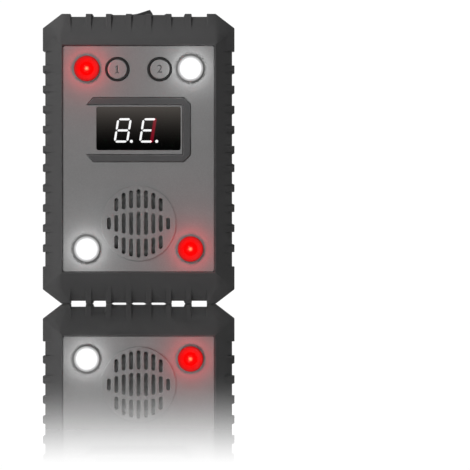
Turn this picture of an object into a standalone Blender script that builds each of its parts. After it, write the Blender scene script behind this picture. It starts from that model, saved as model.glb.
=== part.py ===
"""Battery ultrasonic pest repeller: rugged two-piece case, front panel with display,
two buttons, four signal lamps and a speaker grille, rocker switch on top, battery bay behind.

Frame: origin at the middle of the underside, +X right, +Y to the back, +Z up, metres.
"""

import math

import bmesh
import bpy
from mathutils import Matrix, Vector

MM = 0.001

# Case
CASE_WIDTH = 78.0 * MM
CASE_HEIGHT = 118.0 * MM
CASE_DEPTH = 36.0 * MM
MID_Z = CASE_HEIGHT / 2
HALF_W = CASE_WIDTH / 2
HALF_H = CASE_HEIGHT / 2
FRONT_Y = -CASE_DEPTH / 2
BACK_Y = CASE_DEPTH / 2
CORNER_X = 7.7 * MM
CORNER_Z = 5.9 * MM
SIDE_GROOVE = 1.0 * MM
END_GROOVE = 1.2 * MM
WALL = 2.0 * MM
GAP = 0.3 * MM
HALF_GAP = GAP / 2
BITE = 0.5 * MM                      # how far a cutter or a joined shape runs past a face

# Sloping front and ribs
RIM_Y = FRONT_Y + 0.6 * MM           # flat rim round the panel
SLOPE_EDGE_Y = FRONT_Y + 5.6 * MM    # where the slope meets the side walls, between the ribs
RIB_EDGE_Y = FRONT_Y + 5.1 * MM      # the same edge on a rib's crest
RIB_FADE_Y = FRONT_Y + 2.9 * MM      # depth at which the ribs fade into the slope
RIB_FADE_X = 5.0 * MM
RIB_FADE_Z = 8.0 * MM
RIB_PITCH = 8.17 * MM
SIDE_RIB = 2.4 * MM
END_RIB = 2.2 * MM
RIB_FLANK = 1.2 * MM
SIDE_RIB_ROWS = 5
END_RIB_ROWS = 3
CORNER_BLOCK_X = 27.7 * MM
CORNER_BLOCK_Z = 43.8 * MM
PLATFORM_DROP = 0.45 * MM
BACK_CHAMFER = 2.5 * MM
SCOOP_HALF_X = 6.0 * MM              # finger scoop above the battery door
SCOOP_HEIGHT = 4.0 * MM
SCOOP_DEPTH = 0.9 * MM
RIB_ROOT_X = 31.5 * MM               # where the ribs' bars end inside the case
RIB_ROOT_Z = 50.0 * MM
PARTING_RUN = 2.0 * MM               # both halves are drawn this far past the parting line

# Panel and what shows on it
PANEL_W = 61.0 * MM
PANEL_H = 91.4 * MM
PANEL_T = 2.0 * MM
PANEL_FACE_Y = FRONT_Y + 1.0 * MM
PANEL_BACK_Y = PANEL_FACE_Y + PANEL_T
LEDGE = 2.0 * MM
RIM_LAND = 0.6 * MM
LAMP_X = 21.1 * MM
LAMP_Z = 36.7 * MM                   # above and below mid height
LAMP_R = 2.5 * MM
LAMP_TIP_Y = FRONT_Y + 0.4 * MM
LAMP_BASE_Y = -9.0 * MM
BEZEL_R = 5.2 * MM
BEZEL_BARREL_R = 4.0 * MM
BEZEL_BORE_R = 2.8 * MM
BUTTON_X = 8.6 * MM
BUTTON_Z = 95.4 * MM
BUTTON_R = 3.95 * MM
BUTTON_RING_R = 4.8 * MM
BUTTON_RING_BORE = 4.2 * MM
SPEAKER_Z = 32.7 * MM
GRILLE_R = 15.2 * MM
GRILLE_RISE = 0.4 * MM
SLOT_W = 1.57 * MM
SLOT_PITCH = 3.0 * MM
# Ends of each column's slots above the grille's middle, from the middle column outwards.
SLOT_MIDDLE = (4.8, 4.65, 4.1, 3.4, 2.4)
SLOT_UPPER = ((6.2, 13.9), (6.1, 13.4), (5.7, 12.4), (4.9, 10.3))
WINDOW_W = 34.3 * MM
WINDOW_H = 17.7 * MM
WINDOW_Z = 71.3 * MM
WINDOW_FIT = 0.2 * MM
TRIM_W = 42.2 * MM
TRIM_TOP = 83.8 * MM
TRIM_BOTTOM = 57.8 * MM
TRIM_BAND = 2.8 * MM
TRIM_CHAMFER = 2.8 * MM
TRIM_DEPTH = 0.8 * MM
TRIM_PROUD = 0.3 * MM

# Board and what it carries
BOARD_W = 56.0 * MM
BOARD_H = 86.0 * MM
BOARD_T = 1.6 * MM
BOARD_FRONT_Y = -7.5 * MM
BOARD_BACK_Y = BOARD_FRONT_Y + BOARD_T
BOARD_SCREW_X = 25.0 * MM
BOARD_SCREW_ZS = (34.0 * MM, 84.0 * MM)
DIGITS_X = -1.0 * MM
DIGITS_Z = 70.5 * MM
SPEAKER_R = 14.5 * MM

# Battery bay and door
CELL_R = 7.1 * MM
CELL_LENGTH = 50.5 * MM
CELL_PITCH = 14.8 * MM
CELL_Y = 9.4 * MM
BAY_HALF_X = 22.6 * MM
BAY_BOTTOM = 19.2 * MM
BAY_TOP = 76.8 * MM
BAY_FLOOR_Y = 2.0 * MM
BAY_WALL = 1.4 * MM
DOOR_HALF_X = 24.0 * MM
DOOR_BOTTOM = 18.3 * MM
DOOR_TOP = 78.0 * MM
DOOR_T = 1.5 * MM
DOOR_TAB_X = 7.4 * MM                # between the cells
DOOR_TAB_HALF = 2.6 * MM
HINGE_Z = DOOR_BOTTOM - GAP / 2
BAY_END_WALL = 2.8 * MM
CONTACT_GAP_Y = (5.0 * MM, 12.6 * MM)
SPRING_WIRE_R = 0.35 * MM
SPRING_TURNS = 3
WIRE_R = 0.6 * MM
CONTACT_T = 0.4 * MM

# Rocker switch
SWITCH_Y = 7.0 * MM
PIVOT_Z = 115.8 * MM
ROCKER_R = 6.1 * MM
ROCKER_HALF_W = 3.6 * MM
ROCKER_CORNER = math.radians(30)     # rise of the rocker's end corners above its pivot, untilted
ROCKER_TILT = math.radians(13)
ROCKER_DISH = math.radians(5)        # how far each half dips towards the middle
ROCKER_FLOOR = 3.4 * MM
PIVOT_PIN_R = 0.8 * MM
FLANGE_TOP = 117.4 * MM
SWITCH_HALF_X = 6.9 * MM
SWITCH_HALF_Y = 4.9 * MM
TERMINAL_X = 3.0 * MM

# Screws
CASE_SCREW_X = 32.0 * MM
CASE_SCREW_ZS = (9.5 * MM, 108.5 * MM)
CASE_SCREW_SEAT_Y = 12.0 * MM
CASE_SCREW_TIP_Y = -8.0 * MM
CASE_BOSS_R = 3.2 * MM

ROUND = 20                           # sides of a visible round piece
SMALL = 12                           # sides of a screw or a pin
DEPTH_AXIS = Matrix.Rotation(math.radians(90), 4, "X")    # turns local +Z to the front


def clear_scene():
    """Remove every object and collection of the start-up scene."""
    for item in list(bpy.data.objects):
        bpy.data.objects.remove(item, do_unlink=True)
    for collection in list(bpy.data.collections):
        bpy.data.collections.remove(collection)


def new_collection(name):
    collection = bpy.data.collections.new(name)
    bpy.context.scene.collection.children.link(collection)
    return collection


clear_scene()
PARTS = new_collection("ultrasonic_pest_repeller")
CUTTERS = new_collection("cutters")


def finish(name, colour, roughness=0.5, metallic=0.0):
    """A Principled material with one colour."""
    material = bpy.data.materials.new(name)
    material.use_nodes = True
    shader = material.node_tree.nodes["Principled BSDF"]
    shader.inputs["Base Color"].default_value = (*colour, 1.0)
    shader.inputs["Roughness"].default_value = roughness
    shader.inputs["Metallic"].default_value = metallic
    return material


CASE_GREY = (0.055, 0.055, 0.055)
PANEL_GREY = (0.17, 0.17, 0.17)
BLACK = (0.012, 0.012, 0.012)
WHITE = (0.85, 0.85, 0.85)
RED = (0.75, 0.01, 0.01)
STEEL = (0.6, 0.6, 0.6)
BRASS = (0.7, 0.55, 0.25)
BOARD_GREEN = (0.02, 0.14, 0.05)
COPPER = (0.7, 0.3, 0.15)


# ---------------------------------------------------------------- basic shapes

def from_bmesh(name, mesh_data, collection=None, material=None):
    """Turn a bmesh into an object, freed of doubles, with its faces pointing out."""
    bmesh.ops.recalc_face_normals(mesh_data, faces=mesh_data.faces)
    mesh = bpy.data.meshes.new(name)
    mesh_data.to_mesh(mesh)
    mesh_data.free()
    item = bpy.data.objects.new(name, mesh)
    (collection or PARTS).objects.link(item)
    if material:
        mesh.materials.append(material)
    if collection is CUTTERS:
        item.hide_render = True
        item.display_type = "WIRE"
    return item


def add_block(mesh_data, low, high):
    """Add a box between two corners to a bmesh."""
    low, high = Vector(low), Vector(high)
    size = high - low
    place = Matrix.Translation((low + high) / 2) @ Matrix.Diagonal((*size, 1.0))
    bmesh.ops.create_cube(mesh_data, size=1.0, matrix=place)


def block(name, low, high, collection=None, material=None):
    """A box between two corners as an object."""
    mesh_data = bmesh.new()
    add_block(mesh_data, low, high)
    return from_bmesh(name, mesh_data, collection, material)


def add_rod(mesh_data, radius, start, end, sides=ROUND, end_radius=None):
    """Add a cylinder or cone between two points to a bmesh."""
    start, end = Vector(start), Vector(end)
    span = end - start
    turn = Vector((0, 0, 1)).rotation_difference(span.normalized()).to_matrix().to_4x4()
    bmesh.ops.create_cone(
        mesh_data, cap_ends=True, segments=sides, radius1=radius,
        radius2=radius if end_radius is None else end_radius, depth=span.length,
        matrix=Matrix.Translation((start + end) / 2) @ turn)


def rod(name, radius, start, end, collection=None, material=None, sides=ROUND, end_radius=None):
    """A cylinder or cone between two points as an object."""
    mesh_data = bmesh.new()
    add_rod(mesh_data, radius, start, end, sides, end_radius)
    return from_bmesh(name, mesh_data, collection, material)


def hull(name, points, collection=None, material=None):
    """The convex solid round a set of points."""
    mesh_data = bmesh.new()
    for point in points:
        mesh_data.verts.new(point)
    result = bmesh.ops.convex_hull(mesh_data, input=mesh_data.verts)
    spare = [v for v in mesh_data.verts if not v.link_faces]
    spare += [v for v in result["geom_interior"] if isinstance(v, bmesh.types.BMVert) and v.is_valid]
    bmesh.ops.delete(mesh_data, geom=list(set(spare)), context="VERTS")
    return from_bmesh(name, mesh_data, collection, material)


def add_prism(mesh_data, outline, low_y, high_y):
    """Add an (x, z) outline, drawn along Y between two depths, to a bmesh."""
    corners = [mesh_data.verts.new((x, low_y, z)) for x, z in outline]
    face = mesh_data.faces.new(corners)
    swept = bmesh.ops.extrude_face_region(mesh_data, geom=[face])
    moved = [v for v in swept["geom"] if isinstance(v, bmesh.types.BMVert)]
    bmesh.ops.translate(mesh_data, verts=moved, vec=(0, high_y - low_y, 0))


def prism(name, outline, low_y, high_y, collection=None, material=None):
    """An (x, z) outline drawn along Y as an object."""
    mesh_data = bmesh.new()
    add_prism(mesh_data, outline, low_y, high_y)
    return from_bmesh(name, mesh_data, collection, material)


def turned(name, profile, centre, material=None, sides=ROUND, ring=False, upright=False):
    """Turn a (radius, depth) profile about an axis along Y through centre.

    The profile runs down its outer side from the front; a ring's profile closes on itself.
    An upright piece turns about Z instead, and its profile is (radius, height) from the top.
    """
    mesh = bpy.data.meshes.new(name)
    points = [(radius, 0.0, along if upright else -along) for radius, along in profile]
    count = len(points)
    edges = [(i, i + 1) for i in range(count - 1)]
    if ring:
        edges.append((count - 1, 0))
    mesh.from_pydata(points, edges, [])
    item = bpy.data.objects.new(name, mesh)
    PARTS.objects.link(item)
    item.location = centre
    if not upright:
        item.rotation_euler = DEPTH_AXIS.to_euler()
    screw = item.modifiers.new("turn", "SCREW")
    screw.steps = sides
    screw.render_steps = sides
    screw.use_merge_vertices = True
    screw.merge_threshold = 0.01 * MM
    if material:
        mesh.materials.append(material)
    return item


def combine(item, other, operation):
    """Add a Boolean modifier that uses another object."""
    step = item.modifiers.new(operation.lower(), "BOOLEAN")
    step.operation = operation
    step.solver = "EXACT"
    step.object = other


def cut(item, other):
    """Take another object's volume away from an item."""
    combine(item, other, "DIFFERENCE")


def join(item, other):
    """Unite an item with another object's volume."""
    combine(item, other, "UNION")


def move_origin(item, point):
    """Put an object's origin on a joint's axis without moving its shape."""
    point = Vector(point)
    item.data.transform(Matrix.Translation(-point))
    item.location = point
    return item


def wire(name, points, radius, material):
    """A wire through a list of points, with closed ends."""
    curve = bpy.data.curves.new(name, "CURVE")
    curve.dimensions = "3D"
    curve.bevel_depth = radius
    curve.bevel_resolution = 2
    curve.use_fill_caps = True
    line = curve.splines.new("POLY")
    line.points.add(len(points) - 1)
    for spot, point in zip(line.points, points):
        spot.co = (*point, 1.0)
    item = bpy.data.objects.new(name, curve)
    PARTS.objects.link(item)
    curve.materials.append(material)
    return item


def smooth_route(corners, steps=4):
    """Points of a smooth curve through a few route points."""
    corners = [Vector(c) for c in corners]
    ends = [2 * corners[0] - corners[1]] + corners + [2 * corners[-1] - corners[-2]]
    route = []
    for before, start, end, after in zip(ends, ends[1:], ends[2:], ends[3:]):
        for step in range(steps):
            t = step / steps
            route.append(0.5 * (2 * start + (end - before) * t
                                + (2 * before - 5 * start + 4 * end - after) * t ** 2
                                + (3 * start - before - 3 * end + after) * t ** 3))
    route.append(corners[-1])
    return route


def octagon(inset_x=0.0, inset_z=0.0):
    """(x, z) corners of the case outline, drawn in by the given amounts."""
    half_w = HALF_W - inset_x
    half_h = HALF_H - inset_z
    quarter = ((half_w, half_h - CORNER_Z), (half_w - CORNER_X, half_h))
    outline = [*quarter]
    outline += [(-x, z) for x, z in reversed(quarter)]
    outline += [(-x, -z) for x, z in quarter]
    outline += [(x, -z) for x, z in reversed(quarter)]
    return [(x, MID_Z + z) for x, z in outline]


def rectangle(half_w, half_h, mid_z=MID_Z):
    return [(half_w, mid_z + half_h), (-half_w, mid_z + half_h),
            (-half_w, mid_z - half_h), (half_w, mid_z - half_h)]


def at_depth(outline, y):
    return [(x, y, z) for x, z in outline]


# ---------------------------------------------------------------- case

def crown_half():
    """Half the outline of the end platform with its two pairs of ribs, from the middle out."""
    level, crest = HALF_H - PLATFORM_DROP, HALF_H + BITE
    points = [(0.0, level)]
    for row in (0, 1):
        outer = (row + 0.5) * RIB_PITCH + END_RIB / 2
        tip = outer - END_RIB
        points += [(tip - 2 * PLATFORM_DROP, level), (tip, HALF_H), (tip, crest), (outer, crest)]
        points += [(outer, level)] if row == 0 else []
    return points + [(points[-1][0], RIB_ROOT_Z)]


def rib_outlines():
    """Outlines of the ribs, corner blocks and crowned end platforms, each reaching into the case.

    Each rib's flank that faces the middle of the case is sloped.
    """
    quarter = []
    for row in range(SIDE_RIB_ROWS):
        outer = (row + 0.5) * RIB_PITCH + SIDE_RIB / 2
        tip = outer - SIDE_RIB
        quarter.append([(RIB_ROOT_X, outer), (HALF_W + BITE, outer), (HALF_W + BITE, tip - 0.3 * RIB_FLANK),
                        (HALF_W - SIDE_GROOVE - BITE, tip - RIB_FLANK), (RIB_ROOT_X, tip - RIB_FLANK)])
    outer = (END_RIB_ROWS - 0.5) * RIB_PITCH + END_RIB / 2
    tip = outer - END_RIB
    quarter.append([(outer, RIB_ROOT_Z), (outer, HALF_H + BITE), (tip - 0.3 * RIB_FLANK, HALF_H + BITE),
                    (tip - RIB_FLANK, HALF_H - END_GROOVE - BITE), (tip - RIB_FLANK, RIB_ROOT_Z)])
    quarter.append([(CORNER_BLOCK_X, HALF_H + BITE), (HALF_W + BITE, HALF_H + BITE),
                    (HALF_W + BITE, CORNER_BLOCK_Z), (CORNER_BLOCK_X, CORNER_BLOCK_Z)])
    outlines = [[(sign_x * x, MID_Z + sign_z * z) for x, z in outline]
                for sign_x in (1, -1) for sign_z in (1, -1) for outline in quarter]
    half = crown_half()
    crown = half[1:] + [(-x, z) for x, z in reversed(half[1:])]
    outlines += [[(x, MID_Z + sign_z * z) for x, z in crown] for sign_z in (1, -1)]
    return outlines


def add_ribs(shell, side, crest_points):
    """Join the ribs of one half of the case: bars trimmed to the crest surface."""
    mesh_data = bmesh.new()
    for outline in rib_outlines():
        add_prism(mesh_data, outline, FRONT_Y - BITE, BACK_Y + BITE)
    bars = from_bmesh(f"{side}_rib_bars", mesh_data, CUTTERS)
    combine(bars, hull(f"{side}_crest", crest_points, CUTTERS), "INTERSECT")
    join(shell, bars)


def trim_at_parting(shell, side, keep_low_y, keep_high_y):
    """Keep only what lies between two depths, which makes the flat parting face."""
    keep = block(f"{side}_keep", (-CASE_WIDTH, keep_low_y, -CASE_WIDTH),
                 (CASE_WIDTH, keep_high_y, 2 * CASE_HEIGHT), CUTTERS)
    combine(shell, keep, "INTERSECT")


def make_front_shell():
    """The front half of the case: ribs, sloping rim, panel seat and boss holes."""
    back = PARTING_RUN
    material = finish("case_grey_front", CASE_GREY, 0.6)
    rim = rectangle(PANEL_W / 2 + GAP + RIM_LAND, PANEL_H / 2 + GAP + RIM_LAND)
    core = octagon(SIDE_GROOVE, END_GROOVE)
    shell = hull("front_shell", at_depth(rim, RIM_Y) + at_depth(core, SLOPE_EDGE_Y) + at_depth(core, back),
                 material=material)
    full = octagon()
    fade = rectangle(HALF_W - RIB_FADE_X, HALF_H - RIB_FADE_Z)
    add_ribs(shell, "front", at_depth(fade, RIB_FADE_Y) + at_depth(full, RIB_EDGE_Y)
             + at_depth(full, back + BITE))
    inner = octagon(SIDE_GROOVE + WALL, END_GROOVE + WALL)
    opening = rectangle(PANEL_W / 2 - LEDGE, PANEL_H / 2 - LEDGE)
    ledge_y = PANEL_BACK_Y + GAP
    cavity = hull("front_cavity", at_depth(inner, back + MM) + at_depth(inner, SLOPE_EDGE_Y + 3.5 * MM)
                  + at_depth(opening, ledge_y + LEDGE), CUTTERS)
    cut(shell, cavity)
    seat = bmesh.new()
    add_prism(seat, rectangle(PANEL_W / 2 + GAP, PANEL_H / 2 + GAP), FRONT_Y - BITE, ledge_y)
    cut(shell, from_bmesh("panel_seat", seat, CUTTERS))
    hole = bmesh.new()
    add_prism(hole, opening, FRONT_Y - BITE, ledge_y + LEDGE + BITE)
    cut(shell, from_bmesh("panel_opening", hole, CUTTERS))
    posts, pilots = bmesh.new(), bmesh.new()
    for x in (-CASE_SCREW_X, CASE_SCREW_X):
        for z in CASE_SCREW_ZS:
            add_rod(posts, CASE_BOSS_R - 0.2 * MM, (x, back - MM, z), (x, -13.0 * MM, z), SMALL)
            add_rod(pilots, 1.45 * MM, (x, back + BITE, z), (x, CASE_SCREW_TIP_Y - MM, z), SMALL)
    join(shell, from_bmesh("front_posts", posts, CUTTERS))
    cut(shell, from_bmesh("front_pilots", pilots, CUTTERS))
    trim_at_parting(shell, "front", FRONT_Y - MM, -HALF_GAP)
    return shell


def make_rear_cover():
    """The rear half of the case: ribs, battery bay, door opening and switch cut-out."""
    front = -PARTING_RUN
    material = finish("case_grey_rear", CASE_GREY, 0.6)
    core = octagon(SIDE_GROOVE, END_GROOVE)
    drawn_in = octagon(SIDE_GROOVE + BACK_CHAMFER, END_GROOVE + BACK_CHAMFER)
    cover = hull("rear_cover", at_depth(core, front) + at_depth(core, BACK_Y - BACK_CHAMFER)
                 + at_depth(drawn_in, BACK_Y), material=material)
    full = octagon()
    rib_end = octagon(BACK_CHAMFER, BACK_CHAMFER)
    add_ribs(cover, "rear", at_depth(full, front - BITE) + at_depth(full, BACK_Y - BACK_CHAMFER - MM)
             + at_depth(rib_end, BACK_Y - GAP))
    inner_y = BACK_Y - WALL
    cavity = bmesh.new()
    add_prism(cavity, octagon(SIDE_GROOVE + WALL, END_GROOVE + WALL), front - MM, inner_y)
    cut(cover, from_bmesh("rear_cavity", cavity, CUTTERS))
    # battery bay, screw posts
    bay_side = BAY_HALF_X + 2 * BAY_WALL
    join(cover, block("bay_walls", (-bay_side, BAY_FLOOR_Y - 1.2 * MM, BAY_BOTTOM - BAY_END_WALL),
                      (bay_side, inner_y + BITE, BAY_TOP + BAY_END_WALL), CUTTERS))
    posts, holes = bmesh.new(), bmesh.new()
    for x in (-CASE_SCREW_X, CASE_SCREW_X):
        for z in CASE_SCREW_ZS:
            add_rod(posts, CASE_BOSS_R + 1.2 * MM, (x, GAP, z), (x, inner_y + BITE, z), SMALL)
            add_rod(holes, 1.5 * MM, (x, -BITE, z), (x, CASE_SCREW_SEAT_Y + BITE, z), SMALL)
    join(cover, from_bmesh("rear_posts", posts, CUTTERS))
    cut(cover, from_bmesh("rear_screw_holes", holes, CUTTERS))
    recesses = bmesh.new()
    for x in (-CASE_SCREW_X, CASE_SCREW_X):
        for z in CASE_SCREW_ZS:
            add_rod(recesses, 2.9 * MM, (x, CASE_SCREW_SEAT_Y, z), (x, BACK_Y + BITE, z), SMALL)
    add_block(recesses, (-BAY_HALF_X, BAY_FLOOR_Y, BAY_BOTTOM), (BAY_HALF_X, BACK_Y + BITE, BAY_TOP))
    cut(cover, from_bmesh("bay_and_recesses", recesses, CUTTERS))
    seat = block("door_seat", (-DOOR_HALF_X - GAP, BACK_Y - DOOR_T - GAP, DOOR_BOTTOM - GAP),
                 (DOOR_HALF_X + GAP, BACK_Y + BITE, DOOR_TOP + GAP), CUTTERS)
    cut(cover, seat)
    slots = bmesh.new()
    for x in (-DOOR_TAB_X, DOOR_TAB_X):
        add_block(slots, (x - DOOR_TAB_HALF - GAP, 13.0 * MM, BAY_BOTTOM - BAY_END_WALL - BITE),
                  (x + DOOR_TAB_HALF + GAP, inner_y - 0.1 * MM, BAY_BOTTOM + BITE))
    # pocket behind the door's latch tongue, and the finger scoop above it
    add_block(slots, (-4.4 * MM, 14.0 * MM, BAY_TOP - BITE), (4.4 * MM, BACK_Y - DOOR_T, DOOR_TOP + 0.2 * MM))
    # slots for the two end contacts' solder tags
    add_block(slots, (-CELL_PITCH - 1.8 * MM, CELL_Y - 0.8 * MM, BAY_TOP - BITE),
              (-CELL_PITCH + 1.8 * MM, CELL_Y + 0.8 * MM, BAY_TOP + BAY_END_WALL + BITE))
    add_block(slots, (CELL_PITCH - 1.8 * MM, CELL_Y - 0.8 * MM, BAY_BOTTOM - BAY_END_WALL - BITE),
              (CELL_PITCH + 1.8 * MM, CELL_Y + 0.8 * MM, BAY_BOTTOM + BITE))
    cut(cover, from_bmesh("bay_slots", slots, CUTTERS))
    cut(cover, block("finger_scoop", (-SCOOP_HALF_X, BACK_Y - SCOOP_DEPTH, DOOR_TOP),
                     (SCOOP_HALF_X, BACK_Y + BITE, DOOR_TOP + SCOOP_HEIGHT), CUTTERS))
    # rocker switch: shallow pocket and cut-out in the top wall
    pocket_x, pocket_y = SWITCH_HALF_X + MM, SWITCH_HALF_Y + 0.9 * MM
    cut(cover, block("switch_pocket", (-pocket_x, SWITCH_Y - pocket_y, PIVOT_Z),
                     (pocket_x, SWITCH_Y + pocket_y, CASE_HEIGHT + BITE), CUTTERS))
    hole_x, hole_y = SWITCH_HALF_X + GAP, SWITCH_HALF_Y + GAP
    cut(cover, block("switch_cutout", (-hole_x, SWITCH_Y - hole_y, CASE_HEIGHT - 6 * MM),
                     (hole_x, SWITCH_Y + hole_y, PIVOT_Z + BITE), CUTTERS))
    trim_at_parting(cover, "rear", HALF_GAP, BACK_Y + MM)
    return cover


def make_case_screws():
    """Four long screws that hold the two halves of the case together."""
    material = finish("screw_steel", STEEL, 0.35, 1.0)
    number = 0
    for z in CASE_SCREW_ZS:
        for x in (-CASE_SCREW_X, CASE_SCREW_X):
            number += 1
            head_y = CASE_SCREW_SEAT_Y + GAP
            screw(f"case_screw_{number}", (x, z), (head_y, head_y + 1.8 * MM), 2.6 * MM,
                  CASE_SCREW_TIP_Y, 1.2 * MM, material)


def screw(name, place, head, head_r, tip_y, shank_r, material):
    """A pan-head screw that points to the front."""
    x, z = place
    low, high = head
    return turned(name, [(0, tip_y), (shank_r * 0.5, tip_y), (shank_r, tip_y + shank_r), (shank_r, low),
                         (head_r, low), (head_r, (low + high) / 2), (head_r * 0.7, high), (0, high)],
                  (x, 0, z), material, SMALL)


# ---------------------------------------------------------------- front panel

def trim_outline(grow=0.0):
    """(x, z) outline of the C-shaped trim, open on its left, grown by an amount."""
    half = TRIM_W / 2 + grow
    top, bottom = TRIM_TOP + grow, TRIM_BOTTOM - grow
    inner_x = TRIM_W / 2 - TRIM_BAND - 0.3 * MM - grow
    inner_top, inner_bottom = TRIM_TOP - TRIM_BAND - grow, TRIM_BOTTOM + TRIM_BAND + grow
    return [(-half + TRIM_CHAMFER, top), (half - TRIM_CHAMFER, top), (half, top - TRIM_CHAMFER),
            (half, bottom + TRIM_CHAMFER), (half - TRIM_CHAMFER, bottom), (-half + TRIM_CHAMFER, bottom),
            (-half, inner_bottom), (inner_x, inner_bottom), (inner_x, inner_top), (-half, inner_top)]


def slot_outline(x, low_z, high_z, arc_steps=4):
    """A vertical slot with round ends."""
    radius = SLOT_W / 2
    outline = []
    for centre_z, start in ((high_z - radius, 0.0), (low_z + radius, math.pi)):
        for step in range(arc_steps + 1):
            angle = start + math.pi * step / arc_steps
            outline.append((x + radius * math.cos(angle), centre_z + radius * math.sin(angle)))
    return outline


def grille_slots():
    """Outlines of every slot in the grille."""
    outlines = []
    for column, middle in enumerate(SLOT_MIDDLE):
        for sign in ((1, -1) if column else (1,)):
            x = sign * column * SLOT_PITCH
            outlines.append(slot_outline(x, SPEAKER_Z - middle * MM, SPEAKER_Z + middle * MM))
            if column < len(SLOT_UPPER):
                near, far = SLOT_UPPER[column]
                outlines.append(slot_outline(x, SPEAKER_Z + near * MM, SPEAKER_Z + far * MM))
                outlines.append(slot_outline(x, SPEAKER_Z - far * MM, SPEAKER_Z - near * MM))
    return outlines


def lamp_places():
    """Names and (x, z) places of the four lamps."""
    return [("top_left", -LAMP_X, MID_Z + LAMP_Z), ("top_right", LAMP_X, MID_Z + LAMP_Z),
            ("bottom_left", -LAMP_X, MID_Z - LAMP_Z), ("bottom_right", LAMP_X, MID_Z - LAMP_Z)]


def make_front_panel():
    """The grey panel: grille, posts, inlay and the holes for lamps, buttons and window."""
    panel = prism("front_panel", rectangle(PANEL_W / 2, PANEL_H / 2), PANEL_FACE_Y, PANEL_BACK_Y,
                  material=finish("panel_grey", PANEL_GREY, 0.5))
    join(panel, rod("grille_disc", GRILLE_R, (0, PANEL_BACK_Y - BITE, SPEAKER_Z),
                    (0, PANEL_FACE_Y - GRILLE_RISE, SPEAKER_Z), CUTTERS, sides=2 * ROUND))
    posts, holes = bmesh.new(), bmesh.new()
    for x in (-BOARD_SCREW_X, BOARD_SCREW_X):
        for z in BOARD_SCREW_ZS:
            add_rod(posts, 2.5 * MM, (x, PANEL_BACK_Y - BITE, z), (x, BOARD_FRONT_Y - GAP, z), SMALL)
            add_rod(holes, 1.15 * MM, (x, PANEL_BACK_Y + MM, z), (x, BOARD_FRONT_Y, z), SMALL)
    join(panel, from_bmesh("panel_posts", posts, CUTTERS))
    deep, shallow = PANEL_FACE_Y - MM, PANEL_BACK_Y + BITE
    for _, x, z in lamp_places():
        add_rod(holes, BEZEL_BARREL_R + GAP, (x, deep, z), (x, shallow, z))
    for x in (-BUTTON_X, BUTTON_X):
        add_rod(holes, BUTTON_RING_R + WINDOW_FIT, (x, deep, BUTTON_Z), (x, shallow, BUTTON_Z))
    for outline in grille_slots():
        add_prism(holes, outline, deep, shallow)
    add_prism(holes, rectangle(WINDOW_W / 2, WINDOW_H / 2, WINDOW_Z), deep, shallow)
    cut(panel, from_bmesh("panel_holes", holes, CUTTERS))
    inlay = bmesh.new()
    add_prism(inlay, trim_outline(WINDOW_FIT), deep, PANEL_FACE_Y + TRIM_DEPTH + WINDOW_FIT)
    cut(panel, from_bmesh("trim_inlay", inlay, CUTTERS))
    return panel


def make_display():
    """The window, its trim and the two-digit module behind it."""
    lens = rectangle(WINDOW_W / 2 - WINDOW_FIT, WINDOW_H / 2 - WINDOW_FIT, WINDOW_Z)
    window = prism("display_window", lens, PANEL_FACE_Y + 0.3 * MM, PANEL_BACK_Y + 0.8 * MM,
                   material=finish("smoked_acrylic", (0.02, 0.02, 0.02), 0.1))
    flange = bmesh.new()
    add_prism(flange, rectangle(WINDOW_W / 2 + 1.4 * MM, WINDOW_H / 2 + 1.4 * MM, WINDOW_Z),
              PANEL_BACK_Y + GAP, PANEL_BACK_Y + 1.3 * MM)
    join(window, from_bmesh("window_flange", flange, CUTTERS))
    prism("display_trim", trim_outline(), PANEL_FACE_Y - TRIM_PROUD, PANEL_FACE_Y + TRIM_DEPTH,
          material=finish("trim_grey", CASE_GREY, 0.45))
    block("digit_display", (DIGITS_X - 11 * MM, -13.4 * MM, DIGITS_Z - 8 * MM),
          (DIGITS_X + 11 * MM, BOARD_FRONT_Y - GAP, DIGITS_Z + 8 * MM),
          material=finish("digit_module_black", BLACK, 0.5))


def make_lamps():
    """LED lamps and the bezels they look out of."""
    rim = PANEL_FACE_Y - HALF_GAP
    profile = [(BEZEL_R - 0.6 * MM, FRONT_Y), (BEZEL_R, FRONT_Y + 0.4 * MM), (BEZEL_R, rim),
               (BEZEL_BARREL_R, rim), (BEZEL_BARREL_R, PANEL_BACK_Y + 2.0 * MM),
               (BEZEL_BORE_R, PANEL_BACK_Y + 2.0 * MM), (BEZEL_BORE_R, FRONT_Y + 1.8 * MM)]
    for place, x, z in lamp_places():
        turned(f"led_bezel_{place}", profile, (x, 0, z), finish(f"bezel_black_{place}", BLACK, 0.35),
               ring=True)
        colour = RED if place in ("top_left", "bottom_right") else WHITE
        dome_y = LAMP_TIP_Y + LAMP_R
        dome = [(LAMP_R * math.sin(math.radians(a)), dome_y - LAMP_R * math.cos(math.radians(a)))
                for a in (0, 30, 60, 90)]
        flange_y = LAMP_BASE_Y - MM
        lamp = turned(f"led_{place}", dome + [(LAMP_R, flange_y), (LAMP_R + 0.4 * MM, flange_y),
                                             (LAMP_R + 0.4 * MM, LAMP_BASE_Y), (0, LAMP_BASE_Y)],
                      (x, 0, z), finish(f"lamp_lens_{place}", colour, 0.15), 16)
        leads = bmesh.new()
        for side in (-1.27 * MM, 1.27 * MM):
            add_block(leads, (x + side - 0.25 * MM, LAMP_BASE_Y - BITE, z - 0.25 * MM),
                      (x + side + 0.25 * MM, BOARD_FRONT_Y - GAP, z + 0.25 * MM))
        join(lamp, from_bmesh(f"led_leads_{place}", leads, CUTTERS))


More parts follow.
